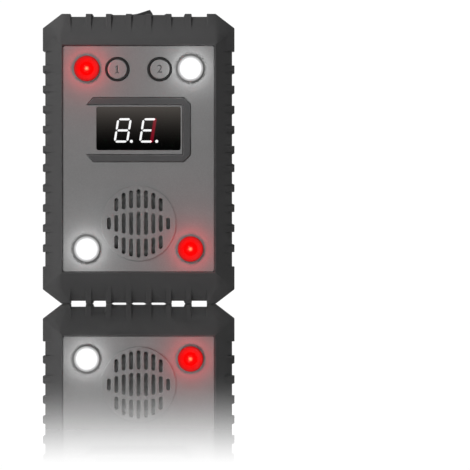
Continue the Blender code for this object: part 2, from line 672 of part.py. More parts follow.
def make_buttons():
    """Each button: a ring held in the panel, a cap that travels in it, and its tact switch."""
    ring_front = PANEL_FACE_Y - 0.25 * MM
    flange_front = PANEL_BACK_Y + GAP
    flange_back = flange_front + 0.8 * MM
    cap_front = PANEL_FACE_Y - 0.4 * MM
    cap_flange = flange_back + GAP
    stem_end = BOARD_FRONT_Y - 4.5 * MM
    for number, x in ((1, -BUTTON_X), (2, BUTTON_X)):
        centre = (x, 0, BUTTON_Z)
        turned(f"button_ring_{number}",
               [(BUTTON_RING_R, ring_front), (BUTTON_RING_R, flange_front),
                (BUTTON_RING_R + 1.3 * MM, flange_front), (BUTTON_RING_R + 1.3 * MM, flange_back),
                (BUTTON_RING_BORE, flange_back), (BUTTON_RING_BORE, ring_front)],
               centre, finish(f"ring_black_{number}", BLACK, 0.4), ring=True)
        turned(f"button_cap_{number}",
               [(0, cap_front), (BUTTON_R - 0.4 * MM, cap_front), (BUTTON_R, cap_front + 0.4 * MM),
                (BUTTON_R, cap_flange), (BUTTON_RING_R, cap_flange), (BUTTON_RING_R, cap_flange + 0.7 * MM),
                (1.5 * MM, cap_flange + 0.7 * MM), (1.5 * MM, stem_end), (0, stem_end)],
               centre, finish(f"cap_grey_{number}", PANEL_GREY, 0.5))
        body_front = BOARD_FRONT_Y - 3.5 * MM
        switch = block(f"tact_switch_{number}", (x - 3 * MM, body_front, BUTTON_Z - 3 * MM),
                       (x + 3 * MM, BOARD_FRONT_Y - GAP, BUTTON_Z + 3 * MM),
                       material=finish(f"tact_black_{number}", BLACK, 0.5))
        cut(switch, rod(f"plunger_bore_{number}", 2.0 * MM, (x, body_front - BITE, BUTTON_Z),
                        (x, body_front + 1.9 * MM, BUTTON_Z), CUTTERS, sides=SMALL))
        rod(f"tact_plunger_{number}", 1.7 * MM, (x, stem_end + GAP, BUTTON_Z),
            (x, body_front + 1.2 * MM, BUTTON_Z), material=finish(f"plunger_{number}", BLACK, 0.4),
            sides=SMALL)


def make_speaker():
    """The speaker's cup and cone."""
    front, back = PANEL_BACK_Y + 0.4 * MM, BOARD_FRONT_Y - GAP
    seat = front + 2.2 * MM
    centre = (0, 0, SPEAKER_Z)
    turned("speaker_cup",
           [(SPEAKER_R, front), (SPEAKER_R, back), (0, back), (0, back - MM),
            (SPEAKER_R - 2.4 * MM, back - MM), (SPEAKER_R - 2.4 * MM, seat), (SPEAKER_R - MM, seat),
            (SPEAKER_R - MM, front)],
           centre, finish("speaker_black", BLACK, 0.4), ring=True)
    face = seat - GAP
    turned("speaker_cone",
           [(0, face + 1.1 * MM), (4.5 * MM, face + 1.1 * MM), (11.5 * MM, face - 0.9 * MM),
            (SPEAKER_R - MM - GAP, face - 0.5 * MM), (SPEAKER_R - MM - GAP, face), (11.5 * MM, face),
            (4.5 * MM, face + 1.9 * MM), (0, face + 1.9 * MM)],
           centre, finish("speaker_cone_brass", BRASS, 0.35, 1.0))


# ---------------------------------------------------------------- board

def make_board():
    """The main board, its screws and what is soldered to it."""
    board = block("main_board", (-BOARD_W / 2, BOARD_FRONT_Y, MID_Z - BOARD_H / 2),
                  (BOARD_W / 2, BOARD_BACK_Y, MID_Z + BOARD_H / 2),
                  material=finish("board", BOARD_GREEN, 0.4))
    holes = bmesh.new()
    for x in (-BOARD_SCREW_X, BOARD_SCREW_X):
        for z in BOARD_SCREW_ZS:
            add_rod(holes, 1.2 * MM, (x, BOARD_FRONT_Y - BITE, z), (x, BOARD_BACK_Y + BITE, z), SMALL)
    cut(board, from_bmesh("board_holes", holes, CUTTERS))
    head_y = BOARD_BACK_Y + GAP
    steel = finish("board_screw_steel", STEEL, 0.35, 1.0)
    number = 0
    for z in BOARD_SCREW_ZS:
        for x in (-BOARD_SCREW_X, BOARD_SCREW_X):
            number += 1
            screw(f"board_screw_{number}", (x, z), (head_y, head_y + 1.3 * MM), 2.0 * MM,
                  PANEL_BACK_Y + 2.5 * MM, 0.9 * MM, steel)
    chip_y = BOARD_BACK_Y + GAP
    block("microcontroller", (-5 * MM, chip_y, 55 * MM), (5 * MM, chip_y + 1.7 * MM, 62.5 * MM),
          material=finish("chip_black", BLACK, 0.45))
    turned("step_up_coil", [(0, chip_y), (4 * MM, chip_y), (4 * MM, chip_y + 0.9 * MM),
                            (3.3 * MM, chip_y + 1.2 * MM), (3.3 * MM, chip_y + 3.4 * MM),
                            (4 * MM, chip_y + 3.7 * MM), (4 * MM, chip_y + 4.6 * MM), (0, chip_y + 4.6 * MM)],
           (-12 * MM, 0, 38 * MM), finish("ferrite_and_copper", COPPER, 0.5, 0.4), 16)
    can_r = 2.4 * MM
    rod("electrolytic_capacitor", can_r, (12 * MM, chip_y + can_r, 34 * MM),
        (12 * MM, chip_y + can_r, 45 * MM), material=finish("capacitor_sleeve", (0.02, 0.03, 0.09), 0.35),
        sides=16)
    block("driver_chip", (6 * MM, chip_y, 72 * MM), (12 * MM, chip_y + 1.6 * MM, 76 * MM),
          material=finish("driver_black", BLACK, 0.45))


# ---------------------------------------------------------------- rocker switch

def make_rocker_switch():
    """The switch body with its well, its terminals and its rocker."""
    black = finish("switch_black", BLACK, 0.4)
    body = block("rocker_switch_body", (-SWITCH_HALF_X, SWITCH_Y - SWITCH_HALF_Y, PIVOT_Z - 13.5 * MM),
                 (SWITCH_HALF_X, SWITCH_Y + SWITCH_HALF_Y, FLANGE_TOP - 0.4 * MM), material=black)
    flange_x, flange_y = SWITCH_HALF_X + 0.7 * MM, SWITCH_HALF_Y + 0.6 * MM
    join(body, block("switch_flange", (-flange_x, SWITCH_Y - flange_y, PIVOT_Z + GAP),
                     (flange_x, SWITCH_Y + flange_y, FLANGE_TOP), CUTTERS))
    well_x, well_y = ROCKER_R + GAP, ROCKER_HALF_W + GAP
    cut(body, block("rocker_well", (-well_x, SWITCH_Y - well_y, PIVOT_Z - ROCKER_R),
                    (well_x, SWITCH_Y + well_y, FLANGE_TOP + BITE), CUTTERS))
    pin_end = ROCKER_HALF_W + 0.7 * MM
    hole_end = pin_end + 0.2 * MM
    cut(body, rod("pivot_holes", PIVOT_PIN_R + GAP, (0, SWITCH_Y - hole_end, PIVOT_Z),
                  (0, SWITCH_Y + hole_end, PIVOT_Z), CUTTERS, sides=SMALL))
    brass = finish("terminal_brass", BRASS, 0.3, 1.0)
    blade_low, blade_high = PIVOT_Z - 19 * MM, PIVOT_Z - 7.2 * MM
    blades = bmesh.new()
    for number, x in ((1, -TERMINAL_X), (2, TERMINAL_X)):
        add_block(blades, (x - 0.7 * MM, SWITCH_Y - 1.5 * MM, blade_low),
                  (x + 0.7 * MM, SWITCH_Y + 1.5 * MM, PIVOT_Z - ROCKER_R + BITE))
        block(f"switch_terminal_{number}", (x - 0.4 * MM, SWITCH_Y - 1.2 * MM, blade_low),
              (x + 0.4 * MM, SWITCH_Y + 1.2 * MM, blade_high), material=brass)
    cut(body, from_bmesh("blade_slots", blades, CUTTERS))
    make_rocker_button(pin_end)


def make_rocker_button(pin_end):
    """A rocker drawn level about its own pivot, then tilted so that its right end stands up."""
    outline = []
    steps = 14
    for step in range(steps + 1):
        angle = ROCKER_CORNER - (math.pi + 2 * ROCKER_CORNER) * step / steps
        x, z = ROCKER_R * math.cos(angle), ROCKER_R * math.sin(angle)
        outline.append((x, max(z, -ROCKER_FLOOR)))
    corner_x, corner_z = outline[0]
    outline.append((0.0, corner_z - corner_x * math.tan(ROCKER_DISH)))
    mesh_data = bmesh.new()
    add_prism(mesh_data, outline, -ROCKER_HALF_W, ROCKER_HALF_W)
    button = from_bmesh("rocker_button", mesh_data, material=finish("rocker_black", BLACK, 0.4))
    button.location = (0, SWITCH_Y, PIVOT_Z)
    button.rotation_euler = (0, -ROCKER_TILT, 0)
    join(button, rod("pivot_pins", PIVOT_PIN_R, (0, SWITCH_Y - pin_end, PIVOT_Z),
                     (0, SWITCH_Y + pin_end, PIVOT_Z), CUTTERS, sides=SMALL))


# ---------------------------------------------------------------- battery bay

def make_battery_door():
    """The door with its two hinge tabs and its latch."""
    door = block("battery_door", (-DOOR_HALF_X, BACK_Y - DOOR_T, DOOR_BOTTOM),
                 (DOOR_HALF_X, BACK_Y, DOOR_TOP), material=finish("door_grey", CASE_GREY, 0.6))
    tab_back = BACK_Y - 2.4 * MM
    tab_front = tab_back - 1.2 * MM
    tabs, feet = bmesh.new(), bmesh.new()
    for x in (-DOOR_TAB_X, DOOR_TAB_X):
        add_block(tabs, (x - DOOR_TAB_HALF, tab_front, BAY_BOTTOM + 0.4 * MM),
                  (x + DOOR_TAB_HALF, BACK_Y - MM, BAY_BOTTOM + 1.4 * MM))
        add_block(feet, (x - DOOR_TAB_HALF + 0.1 * MM, tab_front + 0.1 * MM, BAY_BOTTOM - BAY_END_WALL - MM),
                  (x + DOOR_TAB_HALF - 0.1 * MM, tab_back, BAY_BOTTOM + MM))
    add_block(tabs, (-4 * MM, tab_front, DOOR_TOP - 2 * MM), (4 * MM, BACK_Y - MM, DOOR_TOP))
    join(door, from_bmesh("door_tabs", tabs, CUTTERS))
    join(door, from_bmesh("door_feet", feet, CUTTERS))
    move_origin(door, (0, BACK_Y, HINGE_Z))


def cell_profile(bottom, nub_up):
    """(radius, height) profile of a cell from its top, with its nub at either end."""
    nub_r, nub_h, edge = 2.6 * MM, 1.0 * MM, 0.4 * MM
    low_side = [(CELL_R, edge), (CELL_R - edge, 0), (0, 0)]
    high_side = [(0, CELL_LENGTH), (nub_r, CELL_LENGTH), (nub_r, CELL_LENGTH - nub_h),
                 (CELL_R - edge, CELL_LENGTH - nub_h), (CELL_R, CELL_LENGTH - nub_h - edge)]
    profile = high_side + low_side
    if not nub_up:
        profile = [(radius, CELL_LENGTH - height) for radius, height in reversed(profile)]
    return [(radius, bottom + height) for radius, height in profile]


def spring_points(x, low_z, high_z, wide_at_low):
    """Points of a conical contact spring, with its wide end on the contact plate."""
    steps = SPRING_TURNS * 10
    points = []
    for step in range(steps + 1):
        part = step / steps
        angle = 2 * math.pi * SPRING_TURNS * part
        radius = (4.0 - 1.6 * part) * MM
        z = low_z + (high_z - low_z) * part if wide_at_low else high_z - (high_z - low_z) * part
        points.append((x + radius * math.cos(angle), CELL_Y + radius * math.sin(angle), z))
    return points


def make_cells_and_contacts():
    """Three cells side by side, the middle one turned over, with springs at their flat ends."""
    plate_low, plate_high = BAY_BOTTOM + GAP, BAY_TOP - GAP
    rest = plate_low + CONTACT_T + GAP
    ceiling = plate_high - CONTACT_T - GAP
    steel = finish("contact_steel", STEEL, 0.3, 1.0)
    for number, nub_up in ((1, True), (2, False), (3, True)):
        x = (number - 2) * CELL_PITCH
        bottom = ceiling - CELL_LENGTH if nub_up else rest
        turned(f"battery_cell_{number}", cell_profile(bottom, nub_up), (x, CELL_Y, 0),
               finish(f"cell_sleeve_{number}", (0.03, 0.03, 0.035), 0.35), upright=True)
        low = rest if nub_up else bottom + CELL_LENGTH + GAP
        high = bottom - GAP if nub_up else ceiling
        wire(f"battery_spring_{number}",
             spring_points(x, low + SPRING_WIRE_R, high - SPRING_WIRE_R, nub_up), SPRING_WIRE_R, steel)
    near, far = CONTACT_GAP_Y
    half = 6.0 * MM
    tag_half, tag_t = 1.3 * MM, 0.5 * MM
    for name, low_x, high_x, z, tag in (
            ("contact_bottom_bridge", -CELL_PITCH, 0, plate_low, None),
            ("contact_bottom_end", CELL_PITCH, CELL_PITCH, plate_low,
             (BAY_BOTTOM - 4.5 * MM, plate_low + 0.2 * MM)),
            ("contact_top_bridge", 0, CELL_PITCH, plate_high - CONTACT_T, None),
            ("contact_top_end", -CELL_PITCH, -CELL_PITCH, plate_high - CONTACT_T,
             (plate_high - 0.2 * MM, BAY_TOP + 4.5 * MM))):
        plate = block(name, (low_x - half, near, z), (high_x + half, far, z + CONTACT_T), material=steel)
        if tag:
            join(plate, block(f"{name}_tag", (low_x - tag_half, CELL_Y - tag_t, tag[0]),
                              (low_x + tag_half, CELL_Y + tag_t, tag[1]), CUTTERS))


def make_wires():
    """Leads from the battery contacts and the switch to the back of the board."""
    red = finish("wire_red", (0.6, 0.02, 0.02), 0.4)
    black = finish("wire_black", BLACK, 0.4)
    solder_y = BOARD_BACK_Y + GAP
    top_tag = BAY_TOP + 4.5 * MM + GAP
    low_tag = BAY_BOTTOM - 4.5 * MM - GAP
    blade = PIVOT_Z - 19 * MM - GAP
    routes = {
        "battery_wire_red": (red, [
            (-CELL_PITCH, CELL_Y, top_tag), (-CELL_PITCH, CELL_Y - MM, top_tag + 3 * MM),
            (-CELL_PITCH, 3 * MM, top_tag + 6 * MM), (-13 * MM, -2 * MM, top_tag + 6.5 * MM),
            (-12 * MM, solder_y, top_tag + 6.5 * MM)]),
        "battery_wire_black": (black, [
            (CELL_PITCH, CELL_Y, low_tag), (CELL_PITCH, CELL_Y - 2 * MM, low_tag - 3.5 * MM),
            (CELL_PITCH, 2 * MM, low_tag - 4 * MM), (CELL_PITCH, -2.2 * MM, low_tag),
            (CELL_PITCH, -2.8 * MM, low_tag + 5 * MM), (CELL_PITCH, solder_y, low_tag + 7 * MM)]),
        "switch_wire_1": (red, [
            (-TERMINAL_X, SWITCH_Y, blade), (-TERMINAL_X - MM, SWITCH_Y - MM, blade - 3 * MM),
            (-5 * MM, MM, blade - 5.5 * MM), (-6 * MM, -2.5 * MM, blade - 5 * MM),
            (-6 * MM, solder_y, blade - 5 * MM)]),
        "switch_wire_2": (black, [
            (TERMINAL_X, SWITCH_Y, blade), (TERMINAL_X + MM, SWITCH_Y - MM, blade - 3 * MM),
            (5 * MM, MM, blade - 5.5 * MM), (6 * MM, -2.5 * MM, blade - 5 * MM),
            (6 * MM, solder_y, blade - 5 * MM)]),
    }
    for name, (material, corners) in routes.items():
        wire(name, smooth_route(corners, 3), WIRE_R, material)


def main():
    """Make every piece."""
    make_front_shell()
    make_rear_cover()
    make_case_screws()
    make_front_panel()
    make_display()
    make_lamps()
    make_buttons()
    make_speaker()
    make_board()
    make_rocker_switch()
    make_battery_door()
    make_cells_and_contacts()
    make_wires()


main()
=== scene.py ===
"""Looks of a battery ultrasonic pest repeller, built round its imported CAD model.

Each sub-assembly is a class that reads its places from the CAD nodes and makes its own pieces.
Frame: origin at the middle of the underside, +X right, +Y to the back, +Z up, metres.
"""

import logging
import math
from dataclasses import dataclass
from enum import Enum
from typing import Callable, Iterable, Sequence

import bmesh
import bpy
from mathutils import Euler, Matrix, Vector


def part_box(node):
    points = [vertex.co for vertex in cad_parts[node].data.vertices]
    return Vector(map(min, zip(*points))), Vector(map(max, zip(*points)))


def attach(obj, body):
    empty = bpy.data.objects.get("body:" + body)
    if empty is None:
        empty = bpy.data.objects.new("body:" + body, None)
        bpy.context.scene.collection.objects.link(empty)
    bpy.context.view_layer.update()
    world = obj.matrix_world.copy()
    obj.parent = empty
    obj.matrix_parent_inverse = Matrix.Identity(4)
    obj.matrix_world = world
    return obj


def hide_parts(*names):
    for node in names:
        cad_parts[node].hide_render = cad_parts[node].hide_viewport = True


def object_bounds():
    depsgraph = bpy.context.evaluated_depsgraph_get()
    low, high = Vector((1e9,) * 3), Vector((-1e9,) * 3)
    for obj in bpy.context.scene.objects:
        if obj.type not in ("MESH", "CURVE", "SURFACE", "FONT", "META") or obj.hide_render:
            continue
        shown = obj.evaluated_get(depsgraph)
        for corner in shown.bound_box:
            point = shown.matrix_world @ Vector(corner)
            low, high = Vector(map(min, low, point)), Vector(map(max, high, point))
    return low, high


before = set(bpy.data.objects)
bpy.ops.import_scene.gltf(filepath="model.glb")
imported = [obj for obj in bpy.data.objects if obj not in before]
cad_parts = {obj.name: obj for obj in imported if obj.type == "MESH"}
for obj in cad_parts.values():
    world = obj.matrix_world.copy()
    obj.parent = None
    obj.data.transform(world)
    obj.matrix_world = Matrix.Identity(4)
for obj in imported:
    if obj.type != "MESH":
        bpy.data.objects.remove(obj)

MM = 0.001
CAD_BOX = [list(corner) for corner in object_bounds()]
LOG = logging.getLogger("repeller")

Colour = tuple[float, float, float]
Point = tuple[float, float]


# ---------------------------------------------------------------- node graphs

class Graph:
    """A node tree with short calls to add nodes and wire them."""

    def __init__(self, tree: bpy.types.NodeTree) -> None:
        """Wrap a tree."""
        self.tree = tree

    def feed(self, node: bpy.types.Node, key: str, value: object) -> None:
        """Give a node's input a value or a link.

        Args:
            node: the node that receives it.
            key: the input's identifier, or its name.
            value: a socket to link from, or a plain value.
        """
        found = [s for s in node.inputs if s.identifier == key] or [node.inputs[key]]
        if isinstance(value, bpy.types.NodeSocket):
            self.tree.links.new(value, found[0])
        else:
            found[0].default_value = value

    def add(self, kind: str, inputs: dict | None = None, **settings: object) -> bpy.types.Node:
        """Add a node.

        Args:
            kind: Blender's type name of the node.
            inputs: values or sockets for its inputs.
            settings: the node's own properties.

        Returns:
            The new node.
        """
        node = self.tree.nodes.new(kind)
        for key, value in settings.items():
            setattr(node, key, value)
        for key, value in (inputs or {}).items():
            self.feed(node, key, value)
        return node

    def maths(self, operation: str, first: object, second: object = 0.0) -> bpy.types.NodeSocket:
        """Add a Math node and return its result."""
        inputs = {"Value": first, "Value_001": second}
        return self.add("ShaderNodeMath", inputs, operation=operation).outputs[0]

    def ranged(self, value: object, low: float, high: float, start: object = 0.0,
               end: object = 1.0) -> bpy.types.NodeSocket:
        """Map a value from one range to another, held at its ends.

        Args:
            value: the value or socket to map.
            low: where the first range starts.
            high: where it ends.
            start: what the first range's start becomes.
            end: what its end becomes.

        Returns:
            The result's socket.
        """
        inputs = {"Value": value, "From Min": low, "From Max": high, "To Min": start, "To Max": end}
        return self.add("ShaderNodeMapRange", inputs).outputs["Result"]

    def mixed(self, factor: object, first: object, second: object) -> bpy.types.NodeSocket:
        """Mix two colours and return the result."""
        inputs = {"Factor_Float": factor, "A_Color": first, "B_Color": second}
        return self.add("ShaderNodeMix", inputs, data_type="RGBA").outputs[2]

    def noise(self, scale: object, detail: float = 2.0, vector: object = None) -> bpy.types.NodeSocket:
        """Add a noise texture.

        Args:
            scale: its scale.
            detail: its detail.
            vector: where it is read, or Object coordinates if none is given.

        Returns:
            The value's socket.
        """
        place = vector or self.add("ShaderNodeTexCoord").outputs["Object"]
        inputs = {"Vector": place, "Scale": scale, "Detail": detail}
        return self.add("ShaderNodeTexNoise", inputs).outputs["Fac"]


class EffectGroup(Graph):
    """A shader node group that several finishes share."""

    KINDS = {"colour": "NodeSocketColor", "value": "NodeSocketFloat"}

    def __init__(self, name: str, inputs: dict[str, str], outputs: dict[str, str]) -> None:
        """Make an empty group.

        Args:
            name: the group's name.
            inputs: each input's name and kind.
            outputs: each output's name and kind.
        """
        super().__init__(bpy.data.node_groups.new(name, "ShaderNodeTree"))
        for title, kind in inputs.items():
            self.tree.interface.new_socket(title, in_out="INPUT", socket_type=self.KINDS[kind])
        for title, kind in outputs.items():
            self.tree.interface.new_socket(title, in_out="OUTPUT", socket_type=self.KINDS[kind])
        self.entry = self.tree.nodes.new("NodeGroupInput").outputs
        self.exit = self.tree.nodes.new("NodeGroupOutput")

    def place(self, graph: Graph, inputs: dict) -> bpy.types.Node:
        """Put this group in a material with its own values.

        Args:
            graph: the material's node graph.
            inputs: values or sockets for the group's inputs.

        Returns:
            The group's node.
        """
        node = graph.add("ShaderNodeGroup", node_tree=self.tree)
        for key, value in inputs.items():
            graph.feed(node, key, value)
        return node


def moulded_grain() -> EffectGroup:
    """The fine spark-eroded texture of moulded plastic, with slow shifts of colour and gloss.

    Returns:
        The group.
    """
    group = EffectGroup("moulded_grain",
                        {"Colour": "colour", "Variation": "value", "Grain Scale": "value",
                         "Roughness": "value", "Gloss Spread": "value"},
                        {"Colour": "colour", "Roughness": "value", "Height": "value"})
    entry = group.entry
    flow = group.maths("SUBTRACT", group.noise(90.0, 3.0), 0.5)
    tone = group.maths("ADD", group.maths("MULTIPLY", flow, entry["Variation"]), 1.0)
    grain = group.noise(entry["Grain Scale"], 2.0)
    speckle = group.ranged(grain, 0.3, 0.7, 0.93, 1.07)
    value = group.maths("MULTIPLY", tone, speckle)
    colour = group.add("ShaderNodeHueSaturation", {"Value": value, "Color": entry["Colour"]})
    patch = group.maths("SUBTRACT", group.noise(240.0, 4.0), 0.5)
    rough = group.maths("ADD", entry["Roughness"], group.maths("MULTIPLY", patch, entry["Gloss Spread"]))
    group.feed(group.exit, "Colour", colour.outputs["Color"])
    group.feed(group.exit, "Roughness", rough)
    group.feed(group.exit, "Height", grain)
    return group


def edge_wear_and_highlight() -> EffectGroup:
    """Lighter edges where the mesh carries its edge attribute: rubbed wear, and on the case's ribs also a
    painted highlight.

    Returns:
        The group.
    """
    group = EffectGroup("edge_wear_and_highlight", {"Colour": "colour", "Worn And Lit Colour": "colour", "Amount": "value"},
                        {"Colour": "colour", "Mask": "value"})
    edge = group.add("ShaderNodeAttribute", attribute_name="edge").outputs["Fac"]
    patches = group.ranged(group.noise(420.0, 4.0), 0.35, 0.62)
    # Lightens marked edges: rubbed wear, and a painted highlight along the case's rib edges.
    mask = group.maths("MULTIPLY", group.maths("MULTIPLY", edge, patches), group.entry["Amount"])
    group.feed(group.exit, "Colour", group.mixed(mask, group.entry["Colour"], group.entry["Worn And Lit Colour"]))
    group.feed(group.exit, "Mask", mask)
    return group


def settled_dust() -> EffectGroup:
    """A thin film of dust on faces that look up.

    Returns:
        The group.
    """
    group = EffectGroup("settled_dust", {"Colour": "colour", "Roughness": "value", "Amount": "value"},
                        {"Colour": "colour", "Roughness": "value"})
    normal = group.add("ShaderNodeNewGeometry").outputs["Normal"]
    up = group.add("ShaderNodeSeparateXYZ", {"Vector": normal}).outputs["Z"]
    specks = group.ranged(group.noise(700.0, 4.0), 0.4, 0.75)
    film = group.maths("MULTIPLY", group.ranged(up, 0.55, 1.0), specks)
    mask = group.maths("MULTIPLY", film, group.entry["Amount"])
    group.feed(group.exit, "Colour", group.mixed(mask, group.entry["Colour"], (0.42, 0.4, 0.37, 1.0)))
    group.feed(group.exit, "Roughness", group.maths("ADD", group.entry["Roughness"], mask))
    return group


def fine_lines() -> EffectGroup:
    """Hair lines along one direction: drawn metal, or wipe marks on a polished window.

    Returns:
        The group.
    """
    group = EffectGroup("fine_lines", {"Fineness": "value", "Stretch": "value"}, {"Mask": "value"})
    place = group.add("ShaderNodeTexCoord").outputs["Object"]
    along = group.add("ShaderNodeCombineXYZ", {"X": group.entry["Stretch"], "Y": 1.0, "Z": 1.0}).outputs[0]
    stretched = group.add("ShaderNodeVectorMath", {"Vector": place, "Vector_001": along},
                          operation="MULTIPLY").outputs["Vector"]
    lines = group.noise(group.entry["Fineness"], 3.0, stretched)
    group.feed(group.exit, "Mask", group.ranged(lines, 0.3, 0.7))
    return group


GRAIN, WEAR_AND_HIGHLIGHT, DUST, LINES = moulded_grain(), edge_wear_and_highlight(), settled_dust(), fine_lines()


# ---------------------------------------------------------------- finishes

@dataclass(frozen=True)
class Finish:
    """Moulded plastic, unless a subclass says otherwise."""

    name: str
    colour: Colour
    roughness: float = 0.5
    metallic: float = 0.0
    specular: float = 0.5
    variation: float = 0.25
    grain_scale: float = 3200.0
    grain_depth: float = 0.25
    wear_and_highlight: float = 0.0
    worn_and_lit: Colour = (0.2, 0.2, 0.2)
    dust: float = 0.0

    def material(self) -> bpy.types.Material:
        """Build the material the first time it is asked for.

        Returns:
            The Blender material.
        """
        known = bpy.data.materials.get(self.name)
        if known:
            return known
        material = bpy.data.materials.new(self.name)
        material.use_nodes = True
        shader = material.node_tree.nodes["Principled BSDF"]
        shader.inputs["Metallic"].default_value = self.metallic
        shader.inputs["Specular IOR Level"].default_value = self.specular
        material.diffuse_color = (*self.colour, 1.0)
        self.dress(Graph(material.node_tree), shader)
        return material

    def base(self, graph: Graph) -> object:
        """The colour before grain, wear and dust: a plain value or a socket."""
        return (*self.colour, 1.0)

    def dress(self, graph: Graph, shader: bpy.types.Node) -> None:
        """Wire grain, edge wear with its painted highlight, and dust into the shader.

        Args:
            graph: the material's node graph.
            shader: its Principled BSDF.
        """
        grain = GRAIN.place(graph, {"Colour": self.base(graph), "Variation": self.variation,
                                    "Grain Scale": self.grain_scale, "Roughness": self.roughness,
                                    "Gloss Spread": 0.18})
        worn_and_lit = WEAR_AND_HIGHLIGHT.place(graph, {"Colour": grain.outputs["Colour"], "Worn And Lit Colour": (*self.worn_and_lit, 1.0),
                                  "Amount": self.wear_and_highlight})
        dusty = DUST.place(graph, {"Colour": worn_and_lit.outputs["Colour"],
                                   "Roughness": grain.outputs["Roughness"], "Amount": self.dust})
        graph.feed(shader, "Base Color", dusty.outputs["Colour"])
        graph.feed(shader, "Roughness", dusty.outputs["Roughness"])
        self.relief(graph, shader, grain.outputs["Height"], 0.05 * MM)

    def relief(self, graph: Graph, shader: bpy.types.Node, height: bpy.types.NodeSocket,
               distance: float) -> None:
        """Raise the surface by a pattern.

        Args:
            graph: the material's node graph.
            shader: its Principled BSDF.
            height: the pattern.
            distance: how far its highest points stand up.
        """
        bump = graph.add("ShaderNodeBump", {"Height": height, "Strength": self.grain_depth,
                                            "Distance": distance})
        graph.feed(shader, "Normal", bump.outputs["Normal"])


@dataclass(frozen=True)
class Drawn(Finish):
    """Drawn or rolled metal with hair lines."""

    stretch: float = 0.05

    def dress(self, graph: Graph, shader: bpy.types.Node) -> None:
        """Wire the lines into colour, gloss and relief.

        Args:
            graph: the material's node graph.
            shader: its Principled BSDF.
        """
        lines = LINES.place(graph, {"Fineness": 2600.0, "Stretch": self.stretch}).outputs["Mask"]
        dark = tuple(0.72 * part for part in self.colour)
        worn_and_lit = WEAR_AND_HIGHLIGHT.place(graph, {"Colour": graph.mixed(lines, (*self.colour, 1.0), (*dark, 1.0)),
                                  "Worn And Lit Colour": (*self.worn_and_lit, 1.0), "Amount": self.wear_and_highlight})
        graph.feed(shader, "Base Color", worn_and_lit.outputs["Colour"])
        rough = graph.ranged(lines, 0.0, 1.0, self.roughness, self.roughness + 0.15)
        graph.feed(shader, "Roughness", rough)
        self.relief(graph, shader, lines, 0.02 * MM)


@dataclass(frozen=True)
class LitLens(Finish):
    """A lit lamp lens: a hot spot in the middle, fading to the lens colour at its edge."""

    hot: Colour = (1.0, 1.0, 1.0)
    rim: Colour = (0.5, 0.5, 0.5)
    strength: float = 2.0
    hot_reach: float = 0.3

    def dress(self, graph: Graph, shader: bpy.types.Node) -> None:
        """Fade the glow outwards by the mesh's radial attribute.

        Args:
            graph: the material's node graph.
            shader: its Principled BSDF.
        """
        out = graph.add("ShaderNodeAttribute", attribute_name="radial").outputs["Fac"]
        flicker = graph.maths("MULTIPLY", graph.maths("SUBTRACT", graph.noise(1500.0), 0.5), 0.12)
        reach = graph.maths("ADD", out, flicker)
        near = graph.ranged(reach, 0.04, self.hot_reach)
        glow = graph.mixed(near, (*self.hot, 1.0), (*self.colour, 1.0))
        edge = graph.mixed(graph.ranged(reach, 0.55, 1.0), glow, (*self.rim, 1.0))
        graph.feed(shader, "Base Color", edge)
        graph.feed(shader, "Emission Color", edge)
        shader.inputs["Emission Strength"].default_value = self.strength
        rough = graph.ranged(flicker, -0.06, 0.06, self.roughness, self.roughness + 0.1)
        graph.feed(shader, "Roughness", rough)


@dataclass(frozen=True)
class PaintedGlowCup(Finish):
    """A black bezel whose cup carries painted light from the lens inside it, drawn as emission on the bezel.
    """

    glow: Colour = (1.0, 1.0, 1.0)
    rim: Colour = (0.1, 0.1, 0.1)

    def dress(self, graph: Graph, shader: bpy.types.Node) -> None:
        """Let the painted light fall off from the lens to the outer edge, by the mesh's radial attribute.

        Args:
            graph: the material's node graph.
            shader: its Principled BSDF.
        """
        super().dress(graph, shader)
        out = graph.add("ShaderNodeAttribute", attribute_name="radial").outputs["Fac"]
        # Painted glow: the bezel itself emits, brightest next to the lens.
        near = graph.mixed(graph.ranged(out, 0.6, 0.9), (*self.glow, 1.0), (*self.rim, 1.0))
        faint = (*(0.75 * part for part in self.rim), 1.0)
        graph.feed(shader, "Emission Color", graph.mixed(graph.ranged(out, 0.9, 1.0), near, faint))
        shader.inputs["Emission Strength"].default_value = 1.0


@dataclass(frozen=True)
class LitSegment(Finish):
    """A lit bar of a digit, whose glow varies slightly over it."""

    strength: float = 3.0

    def dress(self, graph: Graph, shader: bpy.types.Node) -> None:
        """Vary the glow slightly over each bar.

        Args:
            graph: the material's node graph.
            shader: its Principled BSDF.
        """
        tone = graph.ranged(graph.noise(1800.0), 0.3, 0.7, 0.86, 1.0)
        colour = graph.add("ShaderNodeHueSaturation", {"Value": tone, "Color": (*self.colour, 1.0)})
        graph.feed(shader, "Base Color", colour.outputs["Color"])
        graph.feed(shader, "Emission Color", colour.outputs["Color"])
        shader.inputs["Emission Strength"].default_value = self.strength
        rough = graph.ranged(tone, 0.86, 1.0, self.roughness + 0.1, self.roughness)
        graph.feed(shader, "Roughness", rough)


